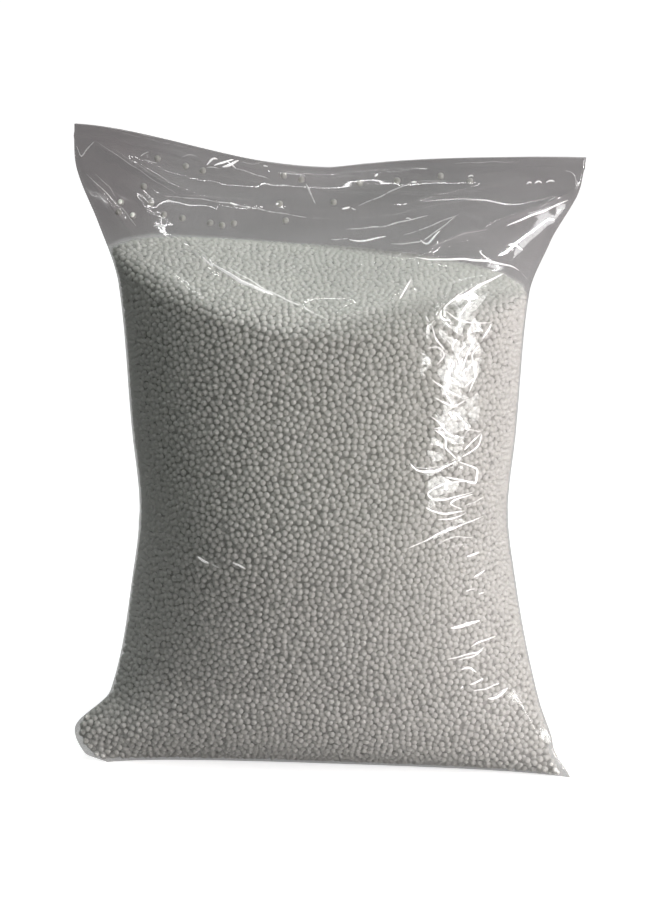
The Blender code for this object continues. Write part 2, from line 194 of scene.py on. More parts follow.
@dataclass(frozen=True)
class ClearFilm:
    """Thin glossy film: a faint grey-lilac veil that shows what lies behind it."""

    tint: tuple[float, float, float] = (0.190, 0.182, 0.186)
    deep_tint: tuple[float, float, float] = (0.125, 0.120, 0.121)
    # Painted shade: the slack film is darker towards its left side, away from the lamps
    painted_left_shade: tuple[float, float, float] = (0.112, 0.092, 0.096)
    haze: tuple[float, float, float] = (0.228, 0.242, 0.218)
    open_haze: tuple[float, float, float] = (0.385, 0.412, 0.382)
    # Painted sheen: a lighter veil where light grazes the right flank and where the floor's light is mirrored
    # near the floor
    painted_sheen: tuple[float, float, float] = (0.322, 0.328, 0.312)
    left_shade_start: float = 0.088
    left_shade_edge: float = 30.0
    cover_on_beads: float = 0.56
    cover_when_slack: float = 0.66
    cover_when_open: float = 0.39
    cover_of_sheen: float = -0.08
    roughness: float = 0.045
    haze_scale: float = 60.0
    haze_roughness: float = 0.06
    band_scale: tuple[float, float, float] = (13.0, 13.0, 38.0)
    ripple_scale: tuple[float, float, float] = (60.0, 60.0, 150.0)
    ripple_height: float = 0.07 * MM
    fine_scale: float = 700.0
    fine_share: float = 0.03

    def material(self) -> Any:
        """Build the film's material; the mesh says where it hangs slack, where it lies over the load's top,
        and where a lighter veil is painted on as sheen.

        Returns:
            The material.
        """
        shader = Shader("clear_film", self.tint)
        where = shader.place()
        slack, open_part, painted_sheen = (shader.attribute(name) for name in (SLACK_NAME, OPEN_NAME, SHEEN_NAME))
        covered = painted_sheen * self.cover_of_sheen + open_part * (self.cover_when_open - self.cover_on_beads)
        shown = slack * self.cover_when_slack + (1.0 - slack) * (covered + self.cover_on_beads)
        shader.set("Alpha", shown)
        # The painted sheen lightens the veil over the beads along the right flank and near the floor
        lying = shader.mixed(painted_sheen, self.haze, self.painted_sheen)
        lying = shader.mixed(open_part, lying, self.open_haze)
        across = shader.node("ShaderNodeSeparateXYZ", {}, {"Vector": where}, "X")
        bands = shader.noise(shader.stretched(where, self.band_scale), 1.0, 3.0) * 3.0 - 1.0
        hanging = shader.mixed(bands.clamped(), self.deep_tint, self.tint)
        # Painted shade over the slack film's left side
        left = ((across * -1.0 - self.left_shade_start) * self.left_shade_edge).clamped()
        hanging = shader.mixed(left, hanging, self.painted_left_shade)
        shader.set("Base Color", shader.mixed(slack, lying, hanging))
        haze = shader.noise(where, self.haze_scale, 3.0)
        shader.set("Roughness", haze * self.haze_roughness + self.roughness)
        ripple = shader.noise(shader.stretched(where, self.ripple_scale), 1.0)
        fine = shader.noise(where, self.fine_scale)
        shader.bump(ripple + fine * self.fine_share, self.ripple_height)
        return shader.material


@dataclass(frozen=True)
class PaintedFoldGlint:
    """Painted highlights along the film's hard folds: white strokes that glow a little."""

    colour: tuple[float, float, float] = (0.93, 0.93, 0.93)
    roughness: float = 0.16
    painted_glow: float = 0.2
    break_scale: float = 220.0
    break_contrast: float = 2.4
    break_share: float = 0.45

    def material(self) -> Any:
        """Build the painted highlight's material, broken up a little along its length.

        Returns:
            The material.
        """
        shader = Shader("painted_fold_glint", self.colour)
        glint = shader.attribute(GLINT_NAME)
        broken = shader.noise(shader.place(), self.break_scale) * self.break_contrast
        broken = (broken - self.break_share + glint * self.break_share).clamped()
        shader.set("Alpha", broken * glint)
        shader.set("Roughness", self.roughness)
        # Painted glow: the highlight shines faintly though no lamp lights it
        shader.set("Emission Color", self.colour)
        shader.set("Emission Strength", self.painted_glow)
        return shader.material


@dataclass(frozen=True)
class FoamSkin:
    """White expanded foam: matt, faintly mottled from bead to bead."""

    colour: tuple[float, float, float] = (0.83, 0.83, 0.80)
    shade: tuple[float, float, float] = (0.75, 0.75, 0.72)
    roughness: float = 0.34
    glow_through: float = 0.85
    glow_depth: float = 1.8 * MM
    tone_scale: float = 300.0
    cell_scale: float = 2500.0
    cell_height: float = 0.05 * MM

    def material(self) -> Any:
        """Build the foam's material: light goes a little way into a bead.

        Returns:
            The material.
        """
        shader = Shader("white_foam", self.colour)
        shader.set("Subsurface Weight", self.glow_through)
        shader.set("Subsurface Radius", (1.0, 1.0, 1.0))
        shader.set("Subsurface Scale", self.glow_depth)
        where = shader.place()
        tone = shader.noise(where, self.tone_scale, 1.0)
        shader.set("Base Color", shader.mixed(tone, self.shade, self.colour))
        shader.set("Roughness", self.roughness)
        shader.bump(shader.cells(where, self.cell_scale), self.cell_height, 0.5)
        return shader.material


@dataclass(frozen=True)
class DeepShade:
    """The load behind its outer beads, seen only in the gaps between them."""

    colour: tuple[float, float, float] = (0.72, 0.71, 0.69)
    dark_share: float = 0.45
    roughness: float = 0.9
    cell_scale: float = 260.0

    def material(self) -> Any:
        """Build the shaded foam's material.

        Returns:
            The material.
        """
        shader = Shader("foam_in_shade", self.colour)
        dark = tuple(self.dark_share * part for part in self.colour)
        cells = shader.cells(shader.place(), self.cell_scale)
        shader.set("Base Color", shader.mixed(cells, self.colour, dark))
        shader.set("Roughness", self.roughness)
        return shader.material


class Station(NamedTuple):
    """The tube's outline at one level, as the solid parts have it."""

    level: float
    pull: float
    lean: float
    forward: float
    roundness: float


@dataclass
class TubeForm:
    """The film tube's shape: constant girth, drawn in at the sides and closed at the mouth."""

    flat_width: float = 0.300
    wall: float = 0.0004
    lip_gap: float = 0.0006
    toe_level: float = 0.005
    corner_level: float = 0.020
    root_level: float = 0.041
    waist_level: float = 0.150
    shoulder_level: float = 0.283
    mouth_level: float = 0.3555
    left_rise: float = 0.0245
    right_rise: float = 0.0125
    seam_forward: float = 0.037
    base_front: float = 0.020
    base_back: float = 0.060
    base_round: float = 0.052
    closing_power: float = 2.0
    mouth_sway: float = 0.006
    mouth_waves: float = 1.25
    flank_power: float = 2.3
    girth_steps: int = 96
    girth_rounds: int = 30
    stations: tuple[Station, ...] = field(init=False)

    def __post_init__(self) -> None:
        """Lay out the stations from the floor to the mouth."""
        chest_level = self.waist_level + 0.37 * (self.shoulder_level - self.waist_level)
        self.stations = (
            Station(0.0, 0.0123, 0.0085, self.seam_forward, 1.25),
            Station(self.toe_level, 0.0070, 0.0005, 0.99 * self.seam_forward, 1.15),
            Station(self.corner_level, 0.0080, -0.0065, 0.93 * self.seam_forward, 1.05),
            Station(self.root_level, 0.0222, -0.0005, 0.70 * self.seam_forward, 1.45),
            Station(0.69 * self.waist_level, 0.0355, -0.0030, 0.18 * self.seam_forward, 1.85),
            Station(self.waist_level, 0.0410, -0.0038, 0.0, 2.0),
            Station(chest_level, 0.0365, -0.0038, 0.0, 1.95),
            Station(self.shoulder_level, 0.0295, -0.0038, 0.0, 1.8),
            Station(self.headspace(0.38), 0.0175, -0.0038, 0.0, 1.4),
            Station(self.headspace(0.80), 0.0018, -0.0015, 0.0, 1.2),
            Station(self.mouth_level, 0.0004, 0.0, 0.0, 1.1),
        )

    @property
    def fold_radius(self) -> float:
        """Radius of the film's outer side where it folds at a side edge."""
        return self.wall + self.lip_gap / 2

    def headspace(self, share: float) -> float:
        """Level of a place in the slack film, 0 at the shoulder and 1 at the mouth."""
        return self.shoulder_level + share * (self.mouth_level - self.shoulder_level)

    def value(self, level: np.ndarray, name: str) -> np.ndarray:
        """A station's field at any levels, from a smooth cubic curve.

        Args:
            level: Levels above the floor, in metres.
            name: The station's field.

        Returns:
            The field's value at each level.
        """
        x = np.array([station.level for station in self.stations])
        y = np.array([getattr(station, name) for station in self.stations])
        rise = np.diff(y) / np.diff(x)
        below, above = rise[:-1], rise[1:]
        turning = below * above <= 0
        middle = np.where(turning, 0.0, 2 * below * above / np.where(turning, 1.0, below + above))
        slope = np.concatenate([rise[:1], middle, rise[-1:]])
        index = np.clip(np.searchsorted(x, level, side="left") - 1, 0, len(x) - 2)
        span = x[index + 1] - x[index]
        t = np.clip((level - x[index]) / span, 0.0, 1.0)
        step = y[index + 1] - y[index]
        start, end = slope[index] * span, slope[index + 1] * span
        return y[index] + start * t + (3 * step - 2 * start - end) * t**2 + (start + end - 2 * step) * t**3

    def lens(self, across: np.ndarray, roundness: np.ndarray) -> np.ndarray:
        """Share of the full depth at a place across the tube."""
        return np.clip(1 - np.abs(across) ** self.flank_power, 0.0, 1.0) ** (1 / roundness)

    def reach(self, level: np.ndarray) -> np.ndarray:
        """Depth each side of the middle that uses up the tube's girth.

        Args:
            level: Levels above the floor.

        Returns:
            The depth at each level.
        """
        half = self.flat_width / 2 - self.value(level, "pull")
        forward = self.value(level, "forward")
        across = np.sin(np.pi * (np.linspace(0, 1, self.girth_steps) - 0.5))
        shape = self.lens(across[None, :], self.value(level, "roundness")[:, None])
        low, high = np.zeros_like(level), np.full_like(level, self.flat_width)
        for _ in range(self.girth_rounds):
            middle = (low + high) / 2
            girth = np.zeros_like(level)
            for depth in (middle - forward, middle + forward):
                run = np.diff(across)[None, :] * half[:, None]
                rise = np.diff(shape, axis=1) * depth[:, None]
                girth += np.hypot(run, rise).sum(axis=1)
            short = girth < 2 * self.flat_width
            low, high = np.where(short, middle, low), np.where(short, high, middle)
        return low

    def slack(self, level: np.ndarray) -> np.ndarray:
        """0 at the shoulder and below it, 1 at the mouth."""
        return np.clip((level - self.shoulder_level) / (self.mouth_level - self.shoulder_level), 0.0, 1.0)

    def outline(self, level: np.ndarray, inset: float = 0.0) -> dict[str, np.ndarray]:
        """The tube's outline at levels given as one flat array.

        Args:
            level: Levels above the floor.
            inset: How far inside the film's outer side the outline is wanted.

        Returns:
            Half width, lean, edge line, reaches and roundness, by name.
        """
        forward = self.value(level, "forward")
        reach = self.reach(np.maximum(level, self.base_round)) * (1 - self.slack(level) ** self.closing_power)
        reach = reach - inset
        climbed = np.clip((level - inset) / (self.base_round - inset), 0.0, 1.0)
        filled = np.sqrt(1 - (1 - climbed) ** 2)
        base_front = self.base_front - self.seam_forward
        base_back = self.base_back + self.seam_forward
        return {
            "half": self.flat_width / 2 - self.value(level, "pull") - inset,
            "lean": self.value(level, "lean"),
            "edge": -forward,
            "front": base_front + (reach - forward - base_front) * filled,
            "back": base_back + (reach + forward - base_back) * filled,
            "round": self.value(level, "roundness"),
        }

    def corner_rise(self, across: np.ndarray) -> np.ndarray:
        """How much higher than its middle the mouth is at a place across it.

        Args:
            across: Places across, from -1 to 1.

        Returns:
            The rise at each place, in metres.
        """
        left = self.left_rise * np.sin(np.clip(-across, 0, 1) * np.pi / 2) ** 2
        right = self.right_rise * np.sin(np.clip(across, 0, 1) * np.pi / 2)
        return left + right

    def level_at(self, across: np.ndarray, height: np.ndarray) -> np.ndarray:
        """Level of the film that comes to lie at a height, as the mouth's corners lift the slack film.

        Args:
            across: Places across, from -1 to 1.
            height: Heights above the floor.

        Returns:
            The film's level at each place.
        """
        slack_height = self.mouth_level - self.shoulder_level
        above = np.maximum(height - self.shoulder_level, 0.0)
        lifted = slack_height / (slack_height + self.corner_rise(across))
        return np.minimum(height, self.shoulder_level) + above * lifted

    def surface(self, across: np.ndarray, level: np.ndarray, side: Side) -> np.ndarray:
        """Points on one wall of the film.

        Args:
            across: Places across, from -1 to 1; one column per place.
            level: Levels, one row each.
            side: Which wall.

        Returns:
            An array of rows by columns by 3.
        """
        outline = {name: values[:, None] for name, values in self.outline(level).items()}
        x = across[None, :] * outline["half"]
        to_edge = outline["half"] - np.abs(x)
        turn = np.sqrt(np.clip(1 - np.clip(1 - to_edge / self.fold_radius, 0, None) ** 2, 0, None))
        reach = outline["front"] if side is Side.FRONT else outline["back"]
        depth = reach * self.lens(across[None, :], outline["round"]) + self.fold_radius * turn
        share = self.slack(level)[:, None]
        sway = self.mouth_sway * share**2 * np.sin(self.mouth_waves * np.pi * (across[None, :] + 0.3))
        z = level[:, None] + self.corner_rise(across)[None, :] * share
        return np.stack([outline["lean"] + x, outline["edge"] + sway + side.value * depth, z], axis=-1)


@dataclass(frozen=True)
class LoadForm:
    """The beads' outer shape: the tube drawn in by the film and half a bead, up to a sloping top."""

    tube: TubeForm
    bead: float = 4.0 * MM
    gap: float = 0.3 * MM
    back_rise: float = 0.0195
    back_fade: float = 0.5
    left_rise: float = 0.024
    right_rise: float = 0.003
    sag_power: float = 1.3
    shoulder_drop: float = 0.009
    empty_tip: float = 3.5 * MM
    tip_height: float = 0.018
    row_power: float = 1.25
    rows: int = 151
    columns: int = 91
    top_rows: int = 41

    @property
    def inset(self) -> float:
        """How far inside the film's outer side the outer beads' centres lie."""
        return self.tube.wall + self.gap + self.bead / 2

    def top(self, across: np.ndarray, through: np.ndarray) -> np.ndarray:
        """Level of the load's top.

        Args:
            across: Places across, from -1 to 1.
            through: Places from front, 0, to back, 1.

        Returns:
            The level at each place.
        """
        rise = np.where(across < 0, self.left_rise, self.right_rise)
        through = 0.5 + (through - 0.5) * (1 - across**8)
        back = self.back_rise * (1 - self.back_fade * np.abs(across)) * np.sin(through * np.pi / 2)
        return self.tube.shoulder_level + rise * np.abs(across) ** self.sag_power + back - self.bead / 2

    def wall(self, side: Side, depth: float) -> np.ndarray:
        """A grid of points on one side of the load.

        Args:
            side: Front or back.
            depth: How far inside the film's outer side.

        Returns:
            Rows by columns by 3, from the floor to the load's shoulder.
        """
        across = np.sin(np.linspace(-1, 1, self.columns) * np.pi / 2)
        edge = self.top(across, np.full_like(across, 0.0 if side is Side.FRONT else 1.0)) - self.shoulder_drop
        shares = np.linspace(0, 1, self.rows) ** self.row_power
        levels = depth + shares[:, None] * (edge[None, :] - depth)
        flat = self.tube.outline(self.tube.level_at(across[None, :], levels).ravel(), depth)
        outline = {name: values.reshape(levels.shape) for name, values in flat.items()}
        half = outline["half"] - self.empty_tip * np.exp(-((levels / self.tip_height) ** 2))
        reach = outline["front"] if side is Side.FRONT else outline["back"]
        y = outline["edge"] + side.value * reach * self.tube.lens(across[None, :], outline["round"])
        return np.stack([outline["lean"] + across[None, :] * half, y, levels], axis=-1)

    def between(self, front: np.ndarray, back: np.ndarray) -> np.ndarray:
        """A grid that spans straight from one line to another."""
        through = np.linspace(0, 1, self.top_rows)[:, None, None]
        return front[None] * (1 - through) + back[None] * through

    def crown(self, rows: int) -> np.ndarray:
        """How far the top bulges above a straight line from front to back.

        Args:
            rows: How many rows the top has, from front to back.

        Returns:
            Rows by columns of heights.
        """
        across = np.sin(np.linspace(-1, 1, self.columns) * np.pi / 2)
        through = np.linspace(0, 1, rows)
        rounded = 1 - np.abs(2 * through - 1) ** 6
        return self.shoulder_drop * rounded[:, None] * np.clip(1 - across**2, 0, 1)[None, :] ** 0.5

    def grids(self, depth: float) -> dict[str, np.ndarray]:
        """Lay out the load's skin.

        Args:
            depth: How far inside the film's outer side.

        Returns:
            Grids of points by name: up the front and over the top, the back, and the base.
        """
        front, back = self.wall(Side.FRONT, depth), self.wall(Side.BACK, depth)
        top = self.between(front[-1], back[-1])
        top[..., 2] += self.crown(self.top_rows)
        return {
            "front": np.concatenate([front, top[1:]]),
            "back": back[:, ::-1],
            "base": self.between(back[0], front[0]),
        }


def grid_faces(rows: int, columns: int) -> np.ndarray:
    """Corner numbers of a grid's quads."""
    first = (np.arange(rows - 1)[:, None] * columns + np.arange(columns - 1)[None, :]).ravel()
    return np.stack([first, first + 1, first + columns + 1, first + columns], axis=1)


def mesh_object(name: str, points: np.ndarray, faces: Any, material: Any) -> Any:
    """Make a smooth mesh object at the origin.

    Args:
        name: The object's name.
        points: Any array of points.
        faces: Rows of corner numbers, as an array or a list.
        material: Its material.

    Returns:
        The object, in the scene.
    """
    mesh = bpy.data.meshes.new(name)
    rows = faces.tolist() if isinstance(faces, np.ndarray) else faces
    mesh.from_pydata(points.reshape(-1, 3).tolist(), [], rows)
    mesh.materials.append(material)
    mesh.shade_smooth()
    made = bpy.data.objects.new(name, mesh)
    bpy.context.scene.collection.objects.link(made)
    return made


def mark(made: Any, name: str, values: Any) -> None:
    """Write a number for each point of a mesh object, for its material to read."""
    numbers = np.asarray(values, np.float32).ravel()
    made.data.attributes.new(name, "FLOAT", "POINT").data.foreach_set("value", numbers)


# How many pieces the beads of each part of the load are split into
ZONE_PIECES = {"front": 3, "back": 2, "base": 1}


@dataclass
class BeadLoad:
    """The load of beads: a skin of single domes over a shaded core."""

    form: LoadForm
    foam: FoamSkin = FoamSkin()
    shade: DeepShade = DeepShade()
    spacing: float = 3.78 * MM
    spread: float = 0.06
    size_limits: tuple[float, float] = (0.84, 1.12)
    most_sunk: float = 0.35 * MM
    throws: float = 11.0
    throw_gap: float = 0.80
    push_rounds: int = 22
    push_share: float = 0.35
    push_limit: float = 1.5
    neighbours: int = 7
    hole_gap: float = 0.66
    hole_depth: float = 1.5 * MM
    core_depth: float = 1.2 * MM
    seed: int = 7

    def build(self) -> list[Any]:
        """Build the core and the beads.

        Returns:
            The pieces that stand for the load.
        """
        material = self.foam.material()
        dome = self._dome(0.01)
        cap = self._dome(0.501)
        pieces = [self._core()]
        chance = np.random.default_rng(self.seed)
        for zone, grid in self.form.grids(self.form.inset).items():
            spot = self._thrown(grid, self.throw_gap * self.spacing, np.zeros((0, 3)), chance)
            places, normals = self._settled(grid, spot)
            shares = np.clip(chance.normal(1.0, self.spread, len(places)), *self.size_limits)
            sizes = self.form.bead / 2 * shares
            sunk = chance.uniform(0.0, self.most_sunk, len(places))
            centres = places - normals * (sunk + np.maximum(sizes - self.form.bead / 2, 0))[:, None]
            groups = np.array_split(np.argsort(places[:, 0]), ZONE_PIECES[zone])
            for number, chosen in enumerate(groups):
                points, faces = self._copies(dome, centres[chosen], normals[chosen], sizes[chosen], chance)
                pieces.append(mesh_object(f"beads_{zone}_{number + 1}", points, faces, material))
            spot = self._thrown(grid, self.hole_gap * self.spacing, places, chance)
            normals = self._normals(grid, spot)
            centres = self._at(grid, spot)[0] - normals * self.hole_depth
            sizes = np.full(len(centres), self.form.bead / 2)
            points, faces = self._copies(cap, centres, normals, sizes, chance)
            pieces.append(mesh_object(f"beads_behind_{zone}", points, faces, material))
        for piece in pieces:
            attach(piece, "root")
            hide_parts("bead_fill")
        return pieces

    def _dome(self, cut: float) -> tuple[np.ndarray, np.ndarray]:
        """Model one bead's outer part, above a cut.

        Args:
            cut: The cut's level, on a bead of radius 1.

        Returns:
            Its points and its triangles, in a fixed order.
        """
        bpy.ops.object.select_all(action="DESELECT")
        bpy.ops.mesh.primitive_uv_sphere_add(segments=9, ring_count=6, radius=1.0, location=(0, 0, 0))
        dome = bpy.context.object
        bpy.ops.object.mode_set(mode="EDIT")
        bpy.ops.mesh.select_all(action="SELECT")
        bpy.ops.mesh.bisect(plane_co=(0, 0, cut), plane_no=(0, 0, 1), clear_inner=True)
        bpy.ops.mesh.select_all(action="SELECT")
        bpy.ops.mesh.quads_convert_to_tris()
        bpy.ops.object.mode_set(mode="OBJECT")
        LOG.info("bead cut at %.2f: %d triangles", cut, len(dome.data.polygons))
        points = np.array([vertex.co[:] for vertex in dome.data.vertices])
        faces = np.array(sorted(polygon.vertices[:] for polygon in dome.data.polygons))
        bpy.data.objects.remove(dome)
        return points, faces

    def _core(self) -> Any:
        """Build the load behind the outer beads.

        Returns:
            The core.
        """
        grids = [grid[::2, ::2] for grid in self.form.grids(self.form.inset + self.core_depth).values()]
        points, faces, first = [], [], 0
        for grid in grids:
            points.append(grid.reshape(-1, 3))
            faces.append(grid_faces(*grid.shape[:2]) + first)
            first += grid.shape[0] * grid.shape[1]
        return mesh_object("bead_core", np.concatenate(points), np.concatenate(faces), self.shade.material())

    def _thrown(self, grid: np.ndarray, near: float, others: np.ndarray, chance: Any) -> np.ndarray:
        """Throw beads at a grid and keep each that falls clear of the ones before it.

        Args:
            grid: Rows by columns by 3.
            near: The least distance between two centres.
            others: Centres of beads that lie there already.
            chance: Random numbers.

        Returns:
            The kept beads' places, in rows and columns of the grid.
        """
        rows, columns = grid.shape[:2]
        side, other = np.diff(grid[:-1], axis=1), np.diff(grid[:, :-1], axis=0)
        areas = np.linalg.norm(np.cross(side, other), axis=2).ravel()
        throws = int(self.throws * areas.sum() / self.spacing**2)
        cells = np.searchsorted(np.cumsum(areas) / areas.sum(), chance.random(throws))
        cells = np.minimum(cells, len(areas) - 1)
        corner = np.stack([cells // (columns - 1), cells % (columns - 1)], axis=1)
        spot = corner + chance.random((throws, 2))
        places = np.concatenate([others, self._at(grid, spot)[0]])
        keys = np.floor(places / near).astype(int).tolist()
        points = places.tolist()
        steps = list(product((-1, 0, 1), repeat=3))
        taken: dict[tuple[int, int, int], list[int]] = {}
        kept = []
        for index, (i, j, k) in enumerate(keys):
            x, y, z = points[index]
            around = (taken.get((i + a, j + b, k + c), ()) for a, b, c in steps)
            if index < len(others) or all(
                (x - points[n][0]) ** 2 + (y - points[n][1]) ** 2 + (z - points[n][2]) ** 2 > near**2
                for group in around
                for n in group
            ):
                taken.setdefault((i, j, k), []).append(index)
                if index >= len(others):
                    kept.append(index - len(others))
        return spot[kept]

    @staticmethod
    def _at(grid: np.ndarray, spot: np.ndarray) -> tuple[np.ndarray, np.ndarray, np.ndarray]:
        """Look up places on a grid.

        Args:
            grid: Rows by columns by 3.
            spot: Places in rows and columns of the grid.

        Returns:
            The position, and the tangents along rising rows and rising columns.
        """
        rows, columns = grid.shape[:2]
        row = np.clip(spot[:, 0], 0, rows - 1.001)
        column = np.clip(spot[:, 1], 0, columns - 1.001)
        i, j = row.astype(int), column.astype(int)
        u, v = (row - i)[:, None], (column - j)[:, None]
        a, b, c, d = grid[i, j], grid[i, j + 1], grid[i + 1, j], grid[i + 1, j + 1]
        middle = (a * (1 - v) + b * v) * (1 - u) + (c * (1 - v) + d * v) * u
        return middle, (c - a) * (1 - v) + (d - b) * v, (b - a) * (1 - u) + (d - c) * u

    def _settled(self, grid: np.ndarray, spot: np.ndarray) -> tuple[np.ndarray, np.ndarray]:
        """Push overlapping beads apart along the surface, until they sit as in a shaken load.

        Args:
            grid: Rows by columns by 3.
            spot: Places in rows and columns of the grid.

        Returns:
            The beads' positions and the surface's outward directions there.
        """
        rows, columns = grid.shape[:2]
        for _ in range(self.push_rounds):
            middle, rise, run = self._at(grid, spot)
            length = np.stack([np.linalg.norm(rise, axis=1), np.linalg.norm(run, axis=1)], axis=1)
            tree = KDTree(len(middle))
            for index, point in enumerate(middle):
                tree.insert(point, index)
            tree.balance()
            push = np.zeros_like(middle)
            for index, point in enumerate(middle):
                for _, other, distance in tree.find_n(point, self.neighbours):
                    if other != index and 0 < distance < self.spacing:
                        share = self.push_share * (self.spacing - distance) / distance
                        push[index] += (point - middle[other]) * share
            along = np.stack([(push * rise).sum(axis=1), (push * run).sum(axis=1)], axis=1)
            spot = spot + np.clip(along / np.maximum(length, 1e-5) ** 2, -self.push_limit, self.push_limit)
            spot[:, 0] = np.clip(spot[:, 0], 0, rows - 1.001)
            spot[:, 1] = np.clip(spot[:, 1], 0, columns - 1.001)
        return self._at(grid, spot)[0], self._normals(grid, spot)

    def _normals(self, grid: np.ndarray, spot: np.ndarray) -> np.ndarray:
        """The surface's outward directions at places on a grid.

        Args:
            grid: Rows by columns by 3.
            spot: Places in rows and columns of the grid.

        Returns:
            A unit vector for each place.
        """
        _, rise, run = self._at(grid, spot)
        normal = np.cross(run, rise)
        return normal / np.maximum(np.linalg.norm(normal, axis=1), 1e-12)[:, None]

    @staticmethod
    def _copies(
        dome: tuple[np.ndarray, np.ndarray],
        centres: np.ndarray,
        normals: np.ndarray,
        sizes: np.ndarray,
        chance: Any,
    ) -> tuple[np.ndarray, np.ndarray]:
        """Place a copy of a dome at every centre, turned outward and spun by chance.

        Args:
            dome: Its points and its triangles.
            centres: Where the copies go.
            normals: Which way each copy faces.
            sizes: Each copy's radius.
            chance: Random numbers.

        Returns:
            The copies' points and triangles.
        """
        helper = np.where(np.abs(normals[:, 2:3]) < 0.9, [[0.0, 0.0, 1.0]], [[1.0, 0.0, 0.0]])
        first = np.cross(helper, normals)
        first /= np.linalg.norm(first, axis=1)[:, None]
        second = np.cross(normals, first)
        spin = chance.uniform(0, 2 * np.pi, len(centres))[:, None]
        right = first * np.cos(spin) + second * np.sin(spin)
        up = second * np.cos(spin) - first * np.sin(spin)
        frames = np.stack([right, up, normals], axis=1)
        points = centres[:, None] + sizes[:, None, None] * np.einsum("vk,bkc->bvc", dome[0], frames)
        first = np.arange(len(centres))[:, None, None] * len(dome[0])
        return points, (dome[1][None] + first).reshape(-1, 3)


class Crease(NamedTuple):
    """A crisp fold of the film, its height and width and a line of (x, z) points in millimetres."""

    height: float
    width: float
    line: tuple[tuple[float, float], ...]


class FoldGlint(NamedTuple):
    """A painted highlight along a fold of the front film: its width in millimetres, and its line as read off
    the photo.
    """

    width: float
    line: tuple[tuple[float, float], ...]


@dataclass(frozen=True)
class PhotoView:
    """How the photo sees the bag: what a pixel measures, where the bag's origin lies in it, and its angle."""

    pixel: float = 0.586 * MM
    origin: tuple[float, float] = (330.5, 751.8)
    azimuth: float = 6.0
    elevation: float = 16.0

    def axes(self) -> np.ndarray:
        """The picture's directions across and up.

        Returns:
            One direction to a row.
        """
        turn, tilt = math.radians(self.azimuth), math.radians(self.elevation)
        across = (math.cos(turn), math.sin(turn), 0.0)
        up = (-math.sin(turn) * math.sin(tilt), math.cos(turn) * math.sin(tilt), math.cos(tilt))
        return np.array([across, up])

    def plane(self, points: np.ndarray) -> np.ndarray:
        """Bag points as (across, up) in the plane of the picture, in metres."""
        return points @ self.axes().T

    def line(self, pixels: tuple[tuple[float, float], ...]) -> np.ndarray:
        """Points read off the photo as (across, up) in the plane of the picture, in metres."""
        return (np.array(pixels, float) - self.origin) * (self.pixel, -self.pixel)


